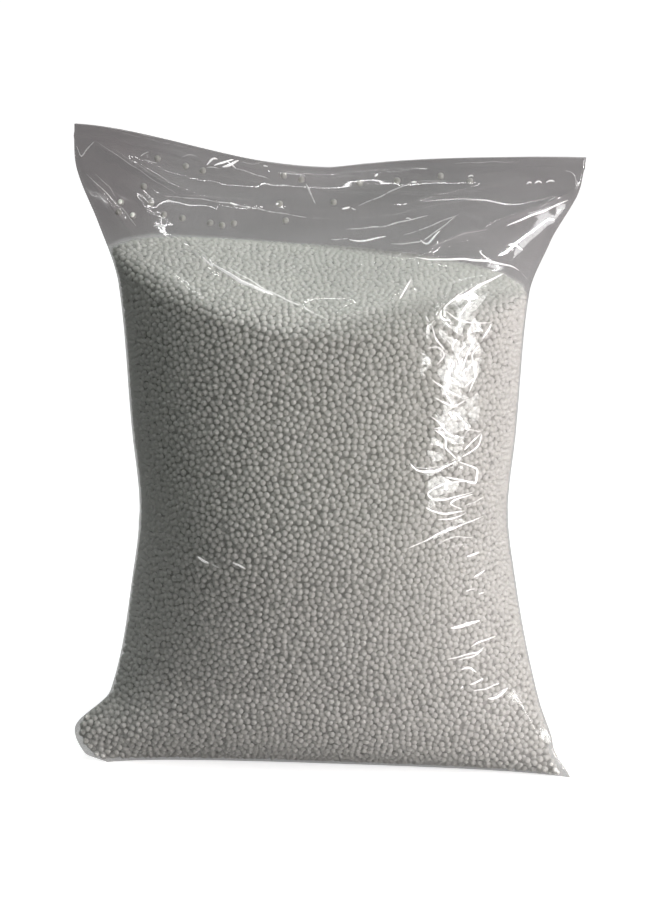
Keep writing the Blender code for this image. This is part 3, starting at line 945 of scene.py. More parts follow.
CREASES = {
    Side.FRONT: (
        # The long fold that hangs from corner to corner
        Crease(3.6, 8.0, ((-138, 372), (-118, 362), (-84, 345), (-62, 338),
                          (-6, 333), (50, 340), (105, 354))),
        # From the mouth's left corner and the left side edge
        Crease(2.4, 4.0, ((-147, 372), (-128, 364), (-92, 346), (-74, 340))),
        Crease(3.0, 5.0, ((-143, 351), (-128, 336), (-110, 318))),
        Crease(1.8, 3.0, ((-149, 374), (-145, 362), (-149, 352))),
        # From the right side edge
        Crease(2.8, 3.5, ((96, 331), (122, 339), (141, 347))),
        Crease(1.6, 3.5, ((35, 313), (70, 322), (98, 331))),
        Crease(1.6, 3.0, ((140, 361), (144, 352), (142, 345))),
        # In the middle
        Crease(2.2, 4.0, ((-17, 353), (-11, 345), (-4, 336))),
        Crease(1.4, 3.5, ((18, 340), (42, 349), (60, 358))),
        Crease(1.2, 3.5, ((14, 336), (34, 343))),
        # Fans of small folds at the right of the shoulder
        Crease(1.5, 2.6, ((12, 322), (45, 322), (78, 330))),
        Crease(1.4, 2.6, ((20, 317), (46, 317), (66, 325), (86, 328))),
        Crease(1.4, 2.6, ((58, 314), (66, 322), (84, 327))),
        Crease(1.2, 2.4, ((54, 312), (62, 318), (70, 326))),
        Crease(1.2, 2.4, ((8, 313), (24, 312), (40, 315))),
        # The shoulder's two arms, and the folds that lead off them
        Crease(2.6, 4.5, ((-88, 322), (-78, 317), (-62, 309), (-28, 294), (4, 283))),
        Crease(1.0, 2.5, ((-66, 305), (-40, 295), (-12, 284))),
        Crease(2.0, 4.0, ((6, 284), (17, 287), (45, 294))),
        Crease(1.8, 6.0, ((-107, 303), (-86, 300), (-66, 287), (-51, 272), (-40, 262))),
        Crease(2.2, 3.2, ((47, 317), (64, 315), (88, 313), (110, 305))),
        Crease(1.6, 2.6, ((54, 306), (48, 300), (43, 294))),
        Crease(2.8, 3.6, ((101, 304), (86, 299), (70, 290), (61, 280), (61, 272))),
        # Down the right flank
        Crease(1.0, 2.0, ((50, 199), (56, 193), (64, 190), (76, 193), (84, 199))),
        Crease(0.6, 2.0, ((51, 145), (64, 150), (80, 157), (95, 165))),
        # Where the waist pinches the side edges
        Crease(1.6, 3.5, ((-111, 142), (-99, 145), (-86, 151))),
        Crease(1.2, 3.5, ((-111, 141), (-96, 137), (-82, 128))),
        Crease(1.5, 3.5, ((103, 155), (94, 158), (80, 160))),
        Crease(1.1, 3.5, ((103, 153), (92, 149), (80, 141))),
        Crease(1.1, 2.2, ((-79, 140), (-72, 136), (-63, 130))),
        Crease(0.9, 2.2, ((-58, 133), (-53, 129))),
        # Across the two floor corners
        Crease(1.8, 4.0, ((-141, 14), (-130, 30), (-119, 50))),
        Crease(1.4, 4.0, ((-134, 6), (-118, 20), (-100, 30))),
        Crease(1.6, 4.0, ((138, 8), (126, 26), (114, 50))),
    ),
    # The back is quieter
    Side.BACK: (
        Crease(3.4, 9.0, ((-132, 366), (-60, 344), (20, 332), (80, 338), (120, 354))),
        Crease(2.6, 5.0, ((140, 352), (118, 330), (98, 316))),
        Crease(2.4, 5.0, ((-138, 344), (-112, 326), (-86, 318))),
        Crease(2.6, 5.0, ((-96, 304), (-40, 293), (10, 287))),
        Crease(2.6, 5.0, ((8, 287), (60, 292), (100, 300))),
        Crease(1.6, 4.0, ((-20, 348), (-4, 330), (-10, 310))),
        Crease(1.4, 4.0, ((-111, 146), (-84, 138))),
        Crease(1.4, 4.0, ((103, 148), (80, 158))),
        Crease(1.6, 4.0, ((-132, 20), (-110, 44))),
        Crease(1.6, 4.0, ((130, 20), (110, 44))),
    ),
}


# The highlight lines along the photo's folds, drawn as painted highlights, as (width in mm, points in pixels)
FOLD_GLINTS = (
    # Mouth edge and left corner
    FoldGlint(0.5, ((96, 124), (130, 130), (177, 141))),
    FoldGlint(0.4, ((110, 128), (150, 138), (196, 148))),
    FoldGlint(0.7, ((78, 143), (83, 156), (90, 146), (97, 139))),
    FoldGlint(0.5, ((97, 139), (122, 156), (160, 182), (181, 194))),
    FoldGlint(0.4, ((113, 146), (142, 165), (165, 181), (178, 183))),
    FoldGlint(0.6, ((87, 171), (108, 191), (128, 211), (139, 226))),
    FoldGlint(0.5, ((96, 171), (112, 186), (118, 197))),
    # Sparks near the mouth
    FoldGlint(0.6, ((141, 156), (147, 152), (152, 150))),
    FoldGlint(0.6, ((145, 158), (152, 161), (160, 162))),
    FoldGlint(0.5, ((148, 152), (150, 158))),
    FoldGlint(1.0, ((207, 165), (211, 160), (215, 156), (220, 159))),
    FoldGlint(1.5, ((222, 166), (229, 165), (236, 160), (241, 159))),
    FoldGlint(1.2, ((214, 165), (220, 162), (228, 160), (236, 158))),
    FoldGlint(0.9, ((226, 159), (232, 163), (238, 168))),
    FoldGlint(0.6, ((207, 166), (214, 166), (222, 168))),
    FoldGlint(0.6, ((232, 166), (250, 171), (272, 178))),
    FoldGlint(0.5, ((240, 160), (256, 163), (266, 160))),
    FoldGlint(0.9, ((263, 164), (270, 165))),
    FoldGlint(0.5, ((181, 157), (190, 153), (200, 156))),
    FoldGlint(0.5, ((283, 170), (296, 171), (309, 176))),
    FoldGlint(1.2, ((276, 204), (280, 202))),
    FoldGlint(0.8, ((154, 226), (160, 224), (170, 226))),
    # Lines across the slack front
    FoldGlint(0.6, ((165, 195), (200, 198), (238, 204), (272, 211), (313, 218))),
    FoldGlint(0.9, ((230, 201), (236, 205), (241, 204))),
    FoldGlint(0.8, ((246, 205), (253, 207))),
    FoldGlint(0.7, ((306, 181), (311, 192), (317, 205))),
    FoldGlint(0.4, ((181, 194), (230, 197), (262, 200))),
    FoldGlint(0.4, ((300, 222), (318, 217), (335, 219))),
    FoldGlint(0.6, ((357, 206), (380, 196), (405, 184), (414, 181))),
    FoldGlint(0.5, ((414, 181), (432, 180), (450, 181))),
    FoldGlint(1.0, ((410, 182), (414, 180), (418, 182))),
    FoldGlint(0.8, ((466, 178), (470, 174), (474, 177))),
    FoldGlint(1.0, ((374, 176), (379, 172))),
    FoldGlint(1.1, ((341, 209), (347, 207), (352, 206))),
    FoldGlint(0.7, ((351, 206), (353, 210), (358, 209))),
    FoldGlint(0.4, ((330, 220), (390, 215), (435, 205), (486, 197))),
    FoldGlint(0.5, ((452, 163), (480, 162), (520, 162))),
    # The fan above the pile's right half
    FoldGlint(0.7, ((345, 229), (365, 228), (384, 226), (408, 220), (429, 215))),
    FoldGlint(1.0, ((348, 239), (354, 241), (360, 241), (374, 239), (387, 236))),
    FoldGlint(0.6, ((402, 235), (415, 232), (429, 226), (459, 214))),
    FoldGlint(0.7, ((389, 244), (405, 244), (420, 242), (438, 230), (456, 215))),
    FoldGlint(0.5, ((423, 250), (445, 241), (465, 233), (489, 229))),
    FoldGlint(1.0, ((419, 239), (422, 243), (426, 245), (433, 237), (440, 230))),
    FoldGlint(0.7, ((404, 219), (410, 217), (412, 221))),
    FoldGlint(0.6, ((330, 239), (340, 240), (350, 238))),
    # The right of the mouth and the crest over the pile
    FoldGlint(1.2, ((413, 257), (430, 260), (450, 259), (480, 260), (510, 265), (518, 270))),
    FoldGlint(0.5, ((518, 270), (523, 274), (526, 279))),
    FoldGlint(1.1, ((504, 226), (520, 219), (540, 211), (554, 205), (567, 199))),
    FoldGlint(0.9, ((524, 185), (528, 181), (531, 184))),
    FoldGlint(1.0, ((532, 184), (537, 180), (541, 184))),
    FoldGlint(0.9, ((543, 183), (549, 180), (554, 182))),
    FoldGlint(1.1, ((505, 245), (511, 243), (517, 247), (522, 250))),
    FoldGlint(0.7, ((507, 249), (513, 249))),
    FoldGlint(0.6, ((561, 170), (568, 172), (573, 175), (574, 187))),
    # The V over the pile
    FoldGlint(0.7, ((187, 246), (196, 252), (205, 259))),
    FoldGlint(1.0, ((203, 254), (209, 262), (216, 267), (211, 257))),
    FoldGlint(2.0, ((214, 263), (228, 272), (243, 281), (258, 288), (276, 295))),
    FoldGlint(0.8, ((228, 266), (252, 280), (268, 290), (300, 305), (330, 320))),
    FoldGlint(0.6, ((240, 277), (262, 290), (276, 296))),
    FoldGlint(0.4, ((330, 320), (365, 310), (399, 299))),
    FoldGlint(0.9, ((398, 300), (404, 290), (411, 278))),
    FoldGlint(0.6, ((408, 285), (412, 272))),
    # Around the patch on the right flank
    FoldGlint(1.4, ((503, 272), (485, 281), (465, 293), (449, 301), (441, 308))),
    FoldGlint(1.0, ((441, 308), (438, 314), (442, 320), (450, 318))),
    FoldGlint(0.8, ((441, 308), (455, 318), (468, 322), (490, 321))),
    FoldGlint(1.1, ((490, 321), (486, 330), (480, 338))),
    FoldGlint(0.9, ((428, 322), (424, 314))),
    # Inside the patch
    FoldGlint(0.8, ((430, 323), (435, 339), (445, 350))),
    FoldGlint(0.8, ((425, 347), (436, 345), (444, 353), (435, 364))),
    FoldGlint(0.8, ((454, 350), (459, 364), (456, 372))),
    FoldGlint(0.9, ((473, 334), (467, 350), (459, 369))),
    FoldGlint(0.9, ((478, 342), (470, 353), (474, 375), (467, 391))),
    FoldGlint(0.8, ((443, 372), (448, 380), (462, 383))),
    FoldGlint(0.9, ((430, 377), (445, 388), (462, 395))),
    FoldGlint(0.8, ((432, 394), (451, 405), (467, 396))),
    FoldGlint(0.9, ((429, 413), (443, 424), (432, 426))),
    FoldGlint(1.0, ((432, 426), (445, 435), (444, 445), (456, 456))),
    FoldGlint(0.9, ((481, 429), (473, 437), (462, 448))),
    FoldGlint(0.9, ((481, 429), (478, 443), (459, 455))),
    FoldGlint(0.7, ((462, 435), (467, 426), (481, 429))),
    # The loops and streaks down the right flank
    FoldGlint(1.3, ((409, 459), (414, 466), (421, 469), (437, 467), (456, 458))),
    FoldGlint(0.7, ((412, 463), (425, 466), (440, 462))),
    FoldGlint(1.2, ((456, 458), (468, 462), (477, 466), (475, 480), (460, 477), (443, 473))),
    FoldGlint(0.9, ((474, 488), (460, 492), (445, 496), (430, 496), (426, 490),
               (433, 484), (445, 480), (460, 478), (475, 478))),
    FoldGlint(0.9, ((474, 490), (460, 494), (448, 500), (462, 506))),
    FoldGlint(1.0, ((424, 503), (432, 508), (443, 510), (454, 509), (465, 507))),
    FoldGlint(0.8, ((436, 516), (450, 515), (462, 512), (467, 507))),
    FoldGlint(0.7, ((484, 493), (470, 500), (462, 503))),
    FoldGlint(0.9, ((406, 545), (422, 538), (440, 529), (462, 521), (484, 512))),
    FoldGlint(0.7, ((435, 542), (444, 536), (454, 533), (473, 534))),
    FoldGlint(0.6, ((447, 544), (458, 541), (470, 541))),
    FoldGlint(1.3, ((465, 553), (472, 552), (480, 548))),
    FoldGlint(0.6, ((419, 530), (424, 527))),
    # The streaks towards the floor
    FoldGlint(1.0, ((472, 575), (479, 570), (486, 566))),
    FoldGlint(0.8, ((464, 588), (476, 585))),
    FoldGlint(0.9, ((478, 591), (485, 589))),
    FoldGlint(1.9, ((449, 624), (455, 624), (462, 623), (471, 619), (481, 617))),
    FoldGlint(0.9, ((470, 644), (480, 638), (497, 633))),
    FoldGlint(0.9, ((446, 656), (459, 653), (478, 649), (485, 643))),
    FoldGlint(0.9, ((457, 657), (473, 653), (484, 646))),
    FoldGlint(0.6, ((471, 639), (482, 635))),
    FoldGlint(1.2, ((460, 667), (465, 664), (469, 664), (478, 670))),
    FoldGlint(0.7, ((462, 662), (467, 666))),
    FoldGlint(1.2, ((469, 682), (478, 678), (485, 675))),
    FoldGlint(0.9, ((472, 688), (485, 686), (501, 680))),
    FoldGlint(0.9, ((460, 686), (464, 682))),
    FoldGlint(1.5, ((487, 696), (497, 695), (503, 691), (506, 688), (509, 684))),
    FoldGlint(0.7, ((492, 694), (500, 690), (506, 685))),
    FoldGlint(0.6, ((497, 718), (503, 718), (509, 715))),
    FoldGlint(0.4, ((513, 670), (518, 660), (522, 649))),
    # The dashes below the waist
    FoldGlint(1.4, ((198, 552), (205, 557), (212, 560))),
    FoldGlint(0.8, ((212, 560), (222, 565))),
    FoldGlint(1.1, ((233, 558), (239, 561), (248, 565))),
)


# In the photo's pixels: the load's back edge, seen through the front film, and its open top's lower edge
PILE_LINE = (
    (108, 243), (125, 237), (155, 233), (233, 238), (308, 244),
    (393, 255), (461, 263), (500, 272), (522, 284), (528, 300),
)
OPEN_LINE = (
    (112, 240), (150, 265), (190, 293), (229, 316), (290, 331),
    (330, 327), (399, 304), (430, 298), (470, 296), (520, 290),
)


class Flank(NamedTuple):
    """Where a flank of the bag is crumpled: its middle and width across and its levels, in millimetres."""

    strength: float
    middle: float
    width: float
    power: int
    low: float
    low_fade: float
    high: float
    high_fade: float


# The crumples down the right flank, and the fainter ones down the left
FLANKS = (
    Flank(1.0, 78.0, 26.0, 4, 176.0, 16.0, 302.0, 12.0),
    Flank(0.3, -84.0, 22.0, 2, 60.0, 60.0, 280.0, 30.0),
)


@dataclass
class FilmBag:
    """The clear film tube, standing full, with its slack top pressed shut and crumpled."""

    tube: TubeForm
    finish: ClearFilm = ClearFilm()
    fold_glint: PaintedFoldGlint = PaintedFoldGlint()
    photo: PhotoView = PhotoView()
    flat: tuple[float, float] = (0.600, 0.420)
    columns: int = 188
    back_columns: int = 142
    edge_room: float = 0.006
    least_room: float = 0.12
    floor_fade: float = 0.010
    crease_reach: float = 0.6
    crumple: float = 1.5 * MM
    crumple_edge: float = 4.5
    ripple: float = 1.1 * MM
    facet: tuple[float, float] = (8.0, 9.0)
    lattice: int = 64
    full_glint_width: float = 1.0
    ribbon_lift: float = 0.35 * MM
    ribbon_ridge: float = 0.35
    ribbon_taper: float = 0.6
    ribbon_step: float = 0.7 * MM
    least_steps: int = 7
    smoothing: int = 5
    sway_length: float = 2.6 * MM
    sway: float = 0.25 * MM
    neighbours: int = 4
    seed: int = 5
    line_blur: float = 2.0 * MM
    open_blur: float = 9.0 * MM
    # How the painted sheen fades in from the right flank and up from the floor, in millimetres and metres
    edge_sheen: tuple[float, float] = (62.0, 46.0)
    low_sheen: float = 0.170
    seal_drop: float = 5.5 * MM
    seal_height: float = 0.45 * MM
    seal_width: float = 0.9 * MM

    def build(self) -> Any:
        """Build the film as one open sheet in tube form, and the painted highlights along its hard folds.

        Returns:
            The film, without the painted highlights.
        """
        levels = self._levels()
        front = self.tube.surface(self._places(self.columns), levels, Side.FRONT)
        back = self.tube.surface(self._places(self.back_columns), levels, Side.BACK)[:, -2:0:-1]
        ring = np.concatenate([front, back], axis=1)
        sides = np.array([Side.FRONT.value] * front.shape[1] + [Side.BACK.value] * back.shape[1])
        around = np.roll(ring, -1, axis=1) - np.roll(ring, 1, axis=1)
        normal = np.cross(around, np.gradient(ring, axis=0))
        normal /= np.maximum(np.linalg.norm(normal, axis=2), 1e-12)[..., None]
        share = self.tube.slack(levels)[:, None]
        raised = self._creases(ring, sides) + self._crumple(ring, share, sides) + self._flank_ripples(ring)
        depth = np.abs(ring[..., 1] - ring[:, :1, 1])
        room = np.clip(depth / self.edge_room, self.least_room, 1.0)
        floor_hold = np.clip(levels / self.floor_fade, 0.0, 1.0)[:, None]
        seal = np.exp(-(((self.tube.mouth_level - levels - self.seal_drop) / self.seal_width) ** 2))[:, None]
        ring = ring + normal * (raised * room * floor_hold + self.seal_height * seal)[..., None]
        ring[..., 2] = np.maximum(ring[..., 2], 0.0)
        looks = {
            # 1 where nothing lies behind the film but its other wall
            SLACK_NAME: self._above(ring, sides, PILE_LINE, self.line_blur, np.clip(share * 2.5, 0, 1)),
            # 1 where the slack front hangs over the load's open top
            OPEN_NAME: self._above(ring, sides, OPEN_LINE, self.open_blur, 0.0),
            # Painted sheen along the right flank and near the floor
            SHEEN_NAME: self._painted_sheen_share(ring),
        }
        film = self._object(ring, looks)
        ribbons = self._ribbons(ring, normal, sides)
        for piece in (film, ribbons):
            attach(piece, "root")
            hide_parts("bag_film")
        return film

    @staticmethod
    def _places(count: int) -> np.ndarray:
        """Places across one wall, closer together towards its edges."""
        even = np.linspace(-1, 1, count)
        return 0.45 * even + 0.55 * np.sin(even * np.pi / 2)

    def _above(
        self, ring: np.ndarray, sides: np.ndarray, pixels: Any, blur: float, behind: Any
    ) -> np.ndarray:
        """A share that turns from 0 to 1 across a line of the photo.

        Args:
            ring: The film's points.
            sides: Which wall each column of points is on.
            pixels: The line, as points read off the photo.
            blur: How wide the turn is, in metres.
            behind: The share on the back wall.

        Returns:
            The share at every point: on the front, 1 above the line.
        """
        seen, line = self.photo.plane(ring), self.photo.line(pixels)
        above = (seen[..., 1] - np.interp(seen[..., 0], line[:, 0], line[:, 1])) / blur
        return np.where(sides[None, :] == Side.FRONT.value, np.clip(0.5 + above, 0, 1), behind)

    def _painted_sheen_share(self, ring: np.ndarray) -> np.ndarray:
        """Where a lighter veil is painted on the film as sheen.

        Args:
            ring: The film's points, in rows of one level.

        Returns:
            1 along the right flank and at the floor, fading upwards and inwards.
        """
        start, width = self.edge_sheen
        flank = np.clip((ring[..., 0] / MM - start) / width, 0, 1)
        low = np.clip(1 - ring[..., 2] / self.low_sheen, 0, 1)
        return 1 - (1 - flank) * (1 - low)

    def _levels(self) -> np.ndarray:
        """Lay out the film's rows.

        Returns:
            The levels, closest at the floor, in the upper body and in the slack film.
        """
        tube = self.tube
        low, middle = 0.030, 0.140
        return np.concatenate([
            low * np.linspace(0, 1, 25, endpoint=False) ** 1.7,
            np.linspace(low, middle, 50, endpoint=False),
            np.linspace(middle, tube.shoulder_level, 125, endpoint=False),
            np.linspace(tube.shoulder_level, tube.mouth_level, 78),
        ])

    def _creases(self, ring: np.ndarray, sides: np.ndarray) -> np.ndarray:
        """Height of all the crisp folds.

        Args:
            ring: The film's points, in rows of one level.
            sides: Which wall each column of points is on.

        Returns:
            The height at every point.
        """
        total = np.zeros(ring.shape[:2])
        for side, creases in CREASES.items():
            here = sides[None, :] == side.value
            for crease in creases:
                total += np.where(here, self._crease(crease, ring[..., 0], ring[..., 2]), 0.0)
        return total

    def _crease(self, crease: Crease, x: np.ndarray, z: np.ndarray) -> np.ndarray:
        """Height of one crisp fold: sharp along its line, and fading to both ends.

        Args:
            crease: The fold.
            x: Every point's place across.
            z: Every point's height.

        Returns:
            The height at every point.
        """
        line = np.array(crease.line) * MM
        best = np.full(x.shape, np.inf)
        place = np.zeros(x.shape)
        for number, (a, b) in enumerate(zip(line, line[1:])):
            along = b - a
            t = np.clip(((x - a[0]) * along[0] + (z - a[1]) * along[1]) / (along @ along), 0, 1)
            distance = np.hypot(x - a[0] - t * along[0], z - a[1] - t * along[1])
            nearer = distance < best
            best = np.where(nearer, distance, best)
            place = np.where(nearer, (number + t) / (len(line) - 1), place)
        fade = np.sin(np.pi * (0.08 + 0.84 * place))
        return crease.height * MM * (np.exp(-best / (crease.width * MM * self.crease_reach)) * fade)

    def _crumple(self, ring: np.ndarray, share: np.ndarray, sides: np.ndarray) -> np.ndarray:
        """Flat facets between small folds in the slack film.

        Args:
            ring: The film's points, in rows of one level.
            share: How slack each row is, from 0 to 1.
            sides: Which wall each column of points is on.

        Returns:
            The height at every point.
        """
        flat = ring.reshape(-1, 3)
        seat = np.where(np.broadcast_to(sides, ring.shape[:2]).ravel() > 0, 7.3, 0.0)
        envelope = np.broadcast_to(np.clip((share - 0.02) * 3.0, 0, 1), ring.shape[:2]).ravel()
        net = np.zeros(len(flat))
        for index in np.flatnonzero(envelope):
            x, _, z = flat[index]
            point = Vector((x * 30.0, seat[index], z * 40.0 + x * 9.0))
            warp = noise.noise(point * 0.7) * 0.5
            near, far = noise.voronoi(point + Vector((warp, 0, -warp)))[0][:2]
            fine = noise.voronoi(point * 2.6 + Vector((3.1, 0, 1.7)))[0]
            strength = max(0.0, 0.4 + 1.2 * noise.noise(point * 0.45))
            net[index] = (
                (math.exp(-(far - near) * self.crumple_edge) - 0.6 * near) * strength
                + 0.20 * math.exp(-(fine[1] - fine[0]) * self.crumple_edge) * strength
                + 1.1 * noise.noise(point * 0.5)
            )
        return self.crumple * (net * envelope).reshape(ring.shape[:2])

    def _flank_ripples(self, ring: np.ndarray) -> np.ndarray:
        """Crumples down the flanks: flat facets in warped lattice cells.

        Args:
            ring: The film's points, in rows of one level.

        Returns:
            The height at every point.
        """
        x, z = ring[..., 0] / MM, ring[..., 2] / MM
        share = sum(
            flank.strength
            * np.exp(-(((x - flank.middle) / flank.width) ** flank.power))
            * np.clip((z - flank.low) / flank.low_fade, 0, 1)
            * np.clip((flank.high - z) / flank.high_fade, 0, 1)
            for flank in FLANKS
        )
        u = x / self.facet[0] + 0.30 * np.sin(z * 0.21) + 0.22 * np.sin(z * 0.53 + x * 0.1)
        v = z / self.facet[1] + 0.35 * np.sin(x * 0.17 + 1.0) + 0.20 * np.sin(x * 0.41 + z * 0.07)
        heights = np.random.default_rng(self.seed).uniform(-1.0, 1.0, (self.lattice, self.lattice))
        i, j = np.floor(u).astype(int), np.floor(v).astype(int)
        s, t = u - i, v - j
        a, b, c, d = (
            heights[(i + right) % self.lattice, (j + up) % self.lattice]
            for right, up in ((0, 0), (1, 0), (0, 1), (1, 1))
        )
        facets = np.where(s + t < 1, a + (b - a) * s + (c - a) * t, d + (c - d) * (1 - s) + (b - d) * (1 - t))
        return self.ripple * share * facets

    def _object(self, ring: np.ndarray, looks: dict[str, np.ndarray]) -> Any:
        """Skin the rings, close the base and write what the film's material reads.

        Args:
            ring: The film's points, in rows of one level.
            looks: A share for every point, by the name that the material reads.

        Returns:
            The film.
        """
        rows, around = ring.shape[:2]
        first = (np.arange(rows - 1)[:, None] * around + np.arange(around)[None, :]).ravel()
        after = (np.arange(rows - 1)[:, None] * around + (np.arange(around) + 1)[None, :] % around).ravel()
        faces = np.stack([first, after, after + around, first + around], axis=1).tolist()
        faces.append(tuple(range(around - 1, -1, -1)))
        film = mesh_object("film_bag", ring, faces, self.finish.material())
        for name, values in looks.items():
            mark(film, name, values)
        film.visible_shadow = False
        return film

    def _ribbons(self, ring: np.ndarray, normal: np.ndarray, sides: np.ndarray) -> Any:
        """Lay painted highlights along the hardest folds of the film, as slim three-cornered ribbons that
        taper to both ends.

        Args:
            ring: The film's points, in rows of one level.
            normal: The outward direction at every point.
            sides: Which wall each column of points is on.

        Returns:
            The ribbons, as one piece.
        """
        front = sides == Side.FRONT.value
        spots, ways = ring[:, front].reshape(-1, 3), normal[:, front].reshape(-1, 3)
        tree = KDTree(len(spots))
        for index, (across, up) in enumerate(self.photo.plane(spots)):
            tree.insert((across, up, 0.0), index)
        tree.balance()
        points, faces, glint = [], [], []
        chance = np.random.default_rng(self.seed)
        for fold in FOLD_GLINTS:
            path = self._smoothed(self.photo.line(fold.line), chance)
            along = np.gradient(path, axis=0)
            aside = np.stack([-along[:, 1], along[:, 0]], axis=1) / np.linalg.norm(along, axis=1)[:, None]
            taper = np.sin(np.pi * np.linspace(0, 1, len(path))) ** self.ribbon_taper
            first = len(points)
            for spot, way, size in zip(path, aside, taper * fold.width * MM / 2):
                for step, rise in ((-size, 0.0), (0.0, self.ribbon_ridge * size), (size, 0.0)):
                    target = spot + step * way
                    near = tree.find_n((*target, 0.0), self.neighbours)
                    weights = np.array([1 / (distance + 1e-5) ** 2 for _, _, distance in near])
                    found = [index for _, index, _ in near]
                    place = (spots[found] * weights[:, None]).sum(axis=0) / weights.sum()
                    place += (target - self.photo.plane(place)) @ self.photo.axes()
                    points.append(place + ways[found[0]] * (rise + self.ribbon_lift))
            # Wider strokes are painted as fuller highlights
            glint += [min((fold.width / self.full_glint_width) ** 2, 1.0)] * (len(points) - first)
            for row in range(first, len(points) - 3, 3):
                faces += [(row, row + 1, row + 4, row + 3), (row + 1, row + 2, row + 5, row + 4)]
        ribbons = mesh_object("painted_fold_glints", np.array(points), faces, self.fold_glint.material())
        mark(ribbons, GLINT_NAME, glint)
        ribbons.visible_shadow = False
        return ribbons

    def _smoothed(self, line: np.ndarray, chance: Any) -> np.ndarray:
        """Run a line through a fold's points, rounded at its corners and a little unsteady.

        Args:
            line: The fold's points in the plane of the picture.
            chance: Random numbers.

        Returns:
            The line's points.
        """
        lengths = np.concatenate([[0.0], np.cumsum(np.linalg.norm(np.diff(line, axis=0), axis=1))])
        steps = max(int(lengths[-1] / self.ribbon_step), self.least_steps)
        place = np.linspace(0, lengths[-1], steps)
        path = np.stack([np.interp(place, lengths, line[:, axis]) for axis in (0, 1)], axis=1)
        kernel = np.ones(self.smoothing) / self.smoothing
        margin = self.smoothing // 2
        for _ in range(2):
            padded = np.pad(path, ((margin, margin), (0, 0)), mode="edge")
            path = np.stack([np.convolve(padded[:, axis], kernel, mode="valid") for axis in (0, 1)], axis=1)
        sway = np.sin(place / self.sway_length + chance.uniform(0, 6.3)) * self.sway
        path[:, 1] += sway * np.sin(np.pi * np.linspace(0, 1, steps))
        return path


@dataclass
class LooseBeads:
    """The single beads that cling inside the slack film: the frame's own pieces, dressed."""

    foam: FoamSkin = FoamSkin(colour=(0.92, 0.95, 0.87), shade=(0.87, 0.90, 0.825))

    def dress(self) -> int:
        """Give every loose bead its finish.

        Returns:
            How many there are.
        """
        material = self.foam.material()
        beads = [node for name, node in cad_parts.items() if name.startswith("loose_bead")]
        for bead in beads:
            bead.data.materials.clear()
            bead.data.materials.append(material)
            bead.data.shade_smooth()
        return len(beads)


class Work(Enum):
    """What a lamp is there for: to light matt surfaces, or to be mirrored in the film."""

    LIGHT = "light"
    MIRROR = "mirror"


class Lamp(NamedTuple):
    """A studio light aimed at the bag."""

    name: str
    work: Work
    azimuth: float
    elevation: float
    distance: float
    size: tuple[float, float]
    power: float
    colour: tuple[float, float, float] = (1.0, 1.0, 1.0)


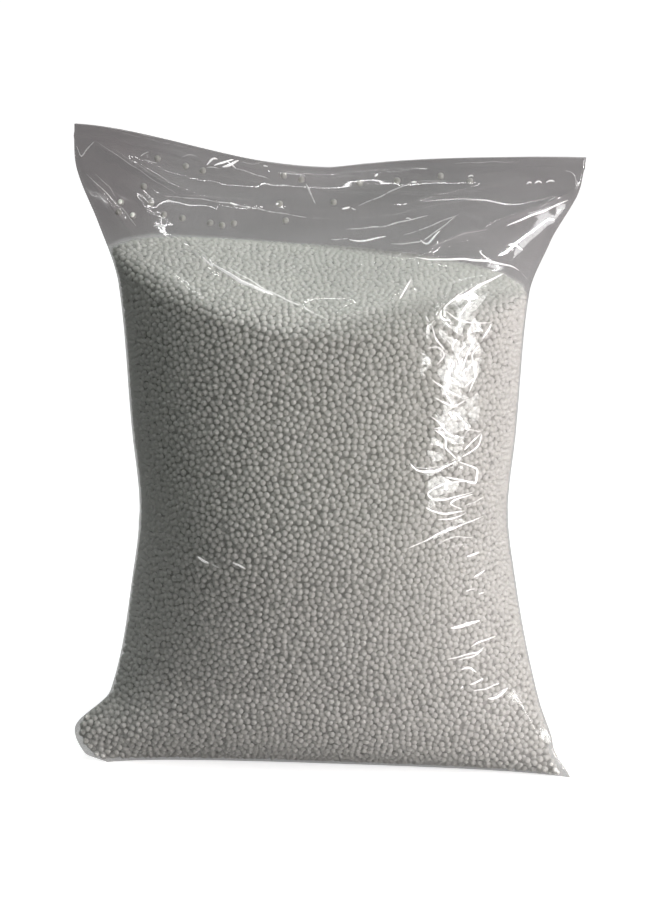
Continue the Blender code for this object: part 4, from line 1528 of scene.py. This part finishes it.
@dataclass
class Studio:
    """Camera, white floor and lights."""

    photo: PhotoView = PhotoView()
    distance: float = 4.02
    lens: float = 273.0
    aim: tuple[float, float, float] = (0.0, 0.0, 0.1858)
    ambient: float = 0.182
    near_glow: float = 0.80
    lamps: tuple[Lamp, ...] = (
        Lamp("key_softbox", Work.LIGHT, 60.0, 6.0, 1.0, (0.45, 0.7), 10.6, (1.0, 0.918, 0.918)),
        Lamp("top_softbox", Work.LIGHT, 10.0, 78.0, 1.1, (0.6, 0.4), 4.9, (0.95, 1.0, 0.96)),
        Lamp("back_softbox", Work.LIGHT, 188.0, 38.0, 1.3, (0.6, 0.4), 3.4),
        Lamp("window", Work.MIRROR, 59.0, 3.5, 0.50, (0.18, 0.25), 2.2),
        Lamp("tall_strip", Work.MIRROR, 60.0, 12.0, 0.48, (0.014, 0.34), 2.4),
        Lamp("long_strip", Work.MIRROR, -10.0, 56.0, 1.2, (1.3, 0.02), 4.5),
        Lamp("left_strip", Work.MIRROR, -58.0, 46.0, 1.1, (0.8, 0.02), 2.5),
        Lamp("right_strip", Work.MIRROR, 72.0, 50.0, 1.1, (0.6, 0.02), 4.0),
    )
    floor_colour: tuple[float, float, float] = (0.58, 0.58, 0.58)
    floor_roughness: float = 0.9
    floor_radius: float = 14.0
    floor_drop: float = 0.4 * MM

    def build(self) -> None:
        """Build the whole studio."""
        self._camera()
        self._floor()
        self._world()
        for lamp in self.lamps:
            self._lamp(lamp)

    def _from(self, azimuth: float, elevation: float, distance: float) -> Vector:
        """Find a place round the aim point.

        Args:
            azimuth: Degrees round from the front.
            elevation: Degrees up.
            distance: Metres away.

        Returns:
            The place.
        """
        a, e = math.radians(azimuth), math.radians(elevation)
        away = Vector((math.sin(a) * math.cos(e), -math.cos(a) * math.cos(e), math.sin(e)))
        return Vector(self.aim) + distance * away

    def _camera(self) -> None:
        """The camera at the photo's viewing angle."""
        data = bpy.data.cameras.new("camera")
        data.lens, data.sensor_width, data.sensor_fit = self.lens, 36.0, "AUTO"
        camera = bpy.data.objects.new("camera", data)
        bpy.context.scene.collection.objects.link(camera)
        camera.location = self._from(self.photo.azimuth, self.photo.elevation, self.distance)
        camera.rotation_euler = (Vector(self.aim) - camera.location).to_track_quat("-Z", "Y").to_euler()
        bpy.context.scene.camera = camera

    def _floor(self) -> None:
        """A wide floor that reads white and still takes the bag's shadow."""
        bpy.ops.object.select_all(action="DESELECT")
        bpy.ops.mesh.primitive_circle_add(
            vertices=96, radius=self.floor_radius, fill_type="NGON", location=(0, 0, -self.floor_drop)
        )
        floor = bpy.context.object
        floor.name = "floor"
        shader = Shader("studio_floor", self.floor_colour)
        shader.set("Roughness", self.floor_roughness)
        seen = shader.node("ShaderNodeLightPath", {}, {}, "Is Camera Ray")
        away = shader.node("ShaderNodeVectorMath", {"operation": "LENGTH"}, {0: shader.place()}, "Value")
        far = (away * 0.4 - 0.1).clamped()
        glow = shader.mixed(far, (self.near_glow,) * 3, (1.0, 1.0, 1.0))
        shader.set("Emission Color", shader.mixed(seen, (0.0, 0.0, 0.0), glow))
        shader.set("Emission Strength", 1.0)
        floor.data.materials.append(shader.material)

    def _world(self) -> None:
        """White to the camera, quiet to everything else."""
        world = bpy.data.worlds.new("studio")
        bpy.context.scene.world = world
        world.use_nodes = True
        tree = world.node_tree
        background = tree.nodes["Background"]
        path = tree.nodes.new("ShaderNodeLightPath")
        strength = tree.nodes.new("ShaderNodeMapRange")
        strength.inputs["To Min"].default_value = self.ambient
        strength.inputs["To Max"].default_value = 1.0
        background.inputs["Color"].default_value = (1.0, 1.0, 1.0, 1.0)
        tree.links.new(path.outputs["Is Camera Ray"], strength.inputs["Value"])
        tree.links.new(strength.outputs["Result"], background.inputs["Strength"])

    def _lamp(self, lamp: Lamp) -> None:
        """Hang one area light.

        Args:
            lamp: Its place, size, power and work.
        """
        data = bpy.data.lights.new(lamp.name, "AREA")
        data.shape = "RECTANGLE"
        data.size, data.size_y = lamp.size
        data.energy, data.color = lamp.power, lamp.colour
        light = bpy.data.objects.new(lamp.name, data)
        bpy.context.scene.collection.objects.link(light)
        light.location = self._from(lamp.azimuth, lamp.elevation, lamp.distance)
        light.rotation_euler = (Vector(self.aim) - light.location).to_track_quat("-Z", "Y").to_euler()
        light.visible_diffuse = lamp.work is Work.LIGHT
        light.visible_glossy = lamp.work is Work.MIRROR
        light.visible_camera = False


def main() -> None:
    """Build the studio, the load, the film and the loose beads."""
    logging.basicConfig(level=logging.INFO, format="%(name)s: %(message)s")
    bpy.context.scene.view_settings.view_transform = "Standard"
    Studio().build()
    tube = TubeForm()
    pieces = BeadLoad(LoadForm(tube)).build()
    LOG.info("bead load: %d pieces", len(pieces))
    film = FilmBag(tube).build()
    area = sum(polygon.area for polygon in film.data.polygons)
    LOG.info("film: %d faces, %.4f m2", len(film.data.polygons), area)
    LOG.info("loose beads: %d", LooseBeads().dress())


if __name__ == "__main__":
    main()
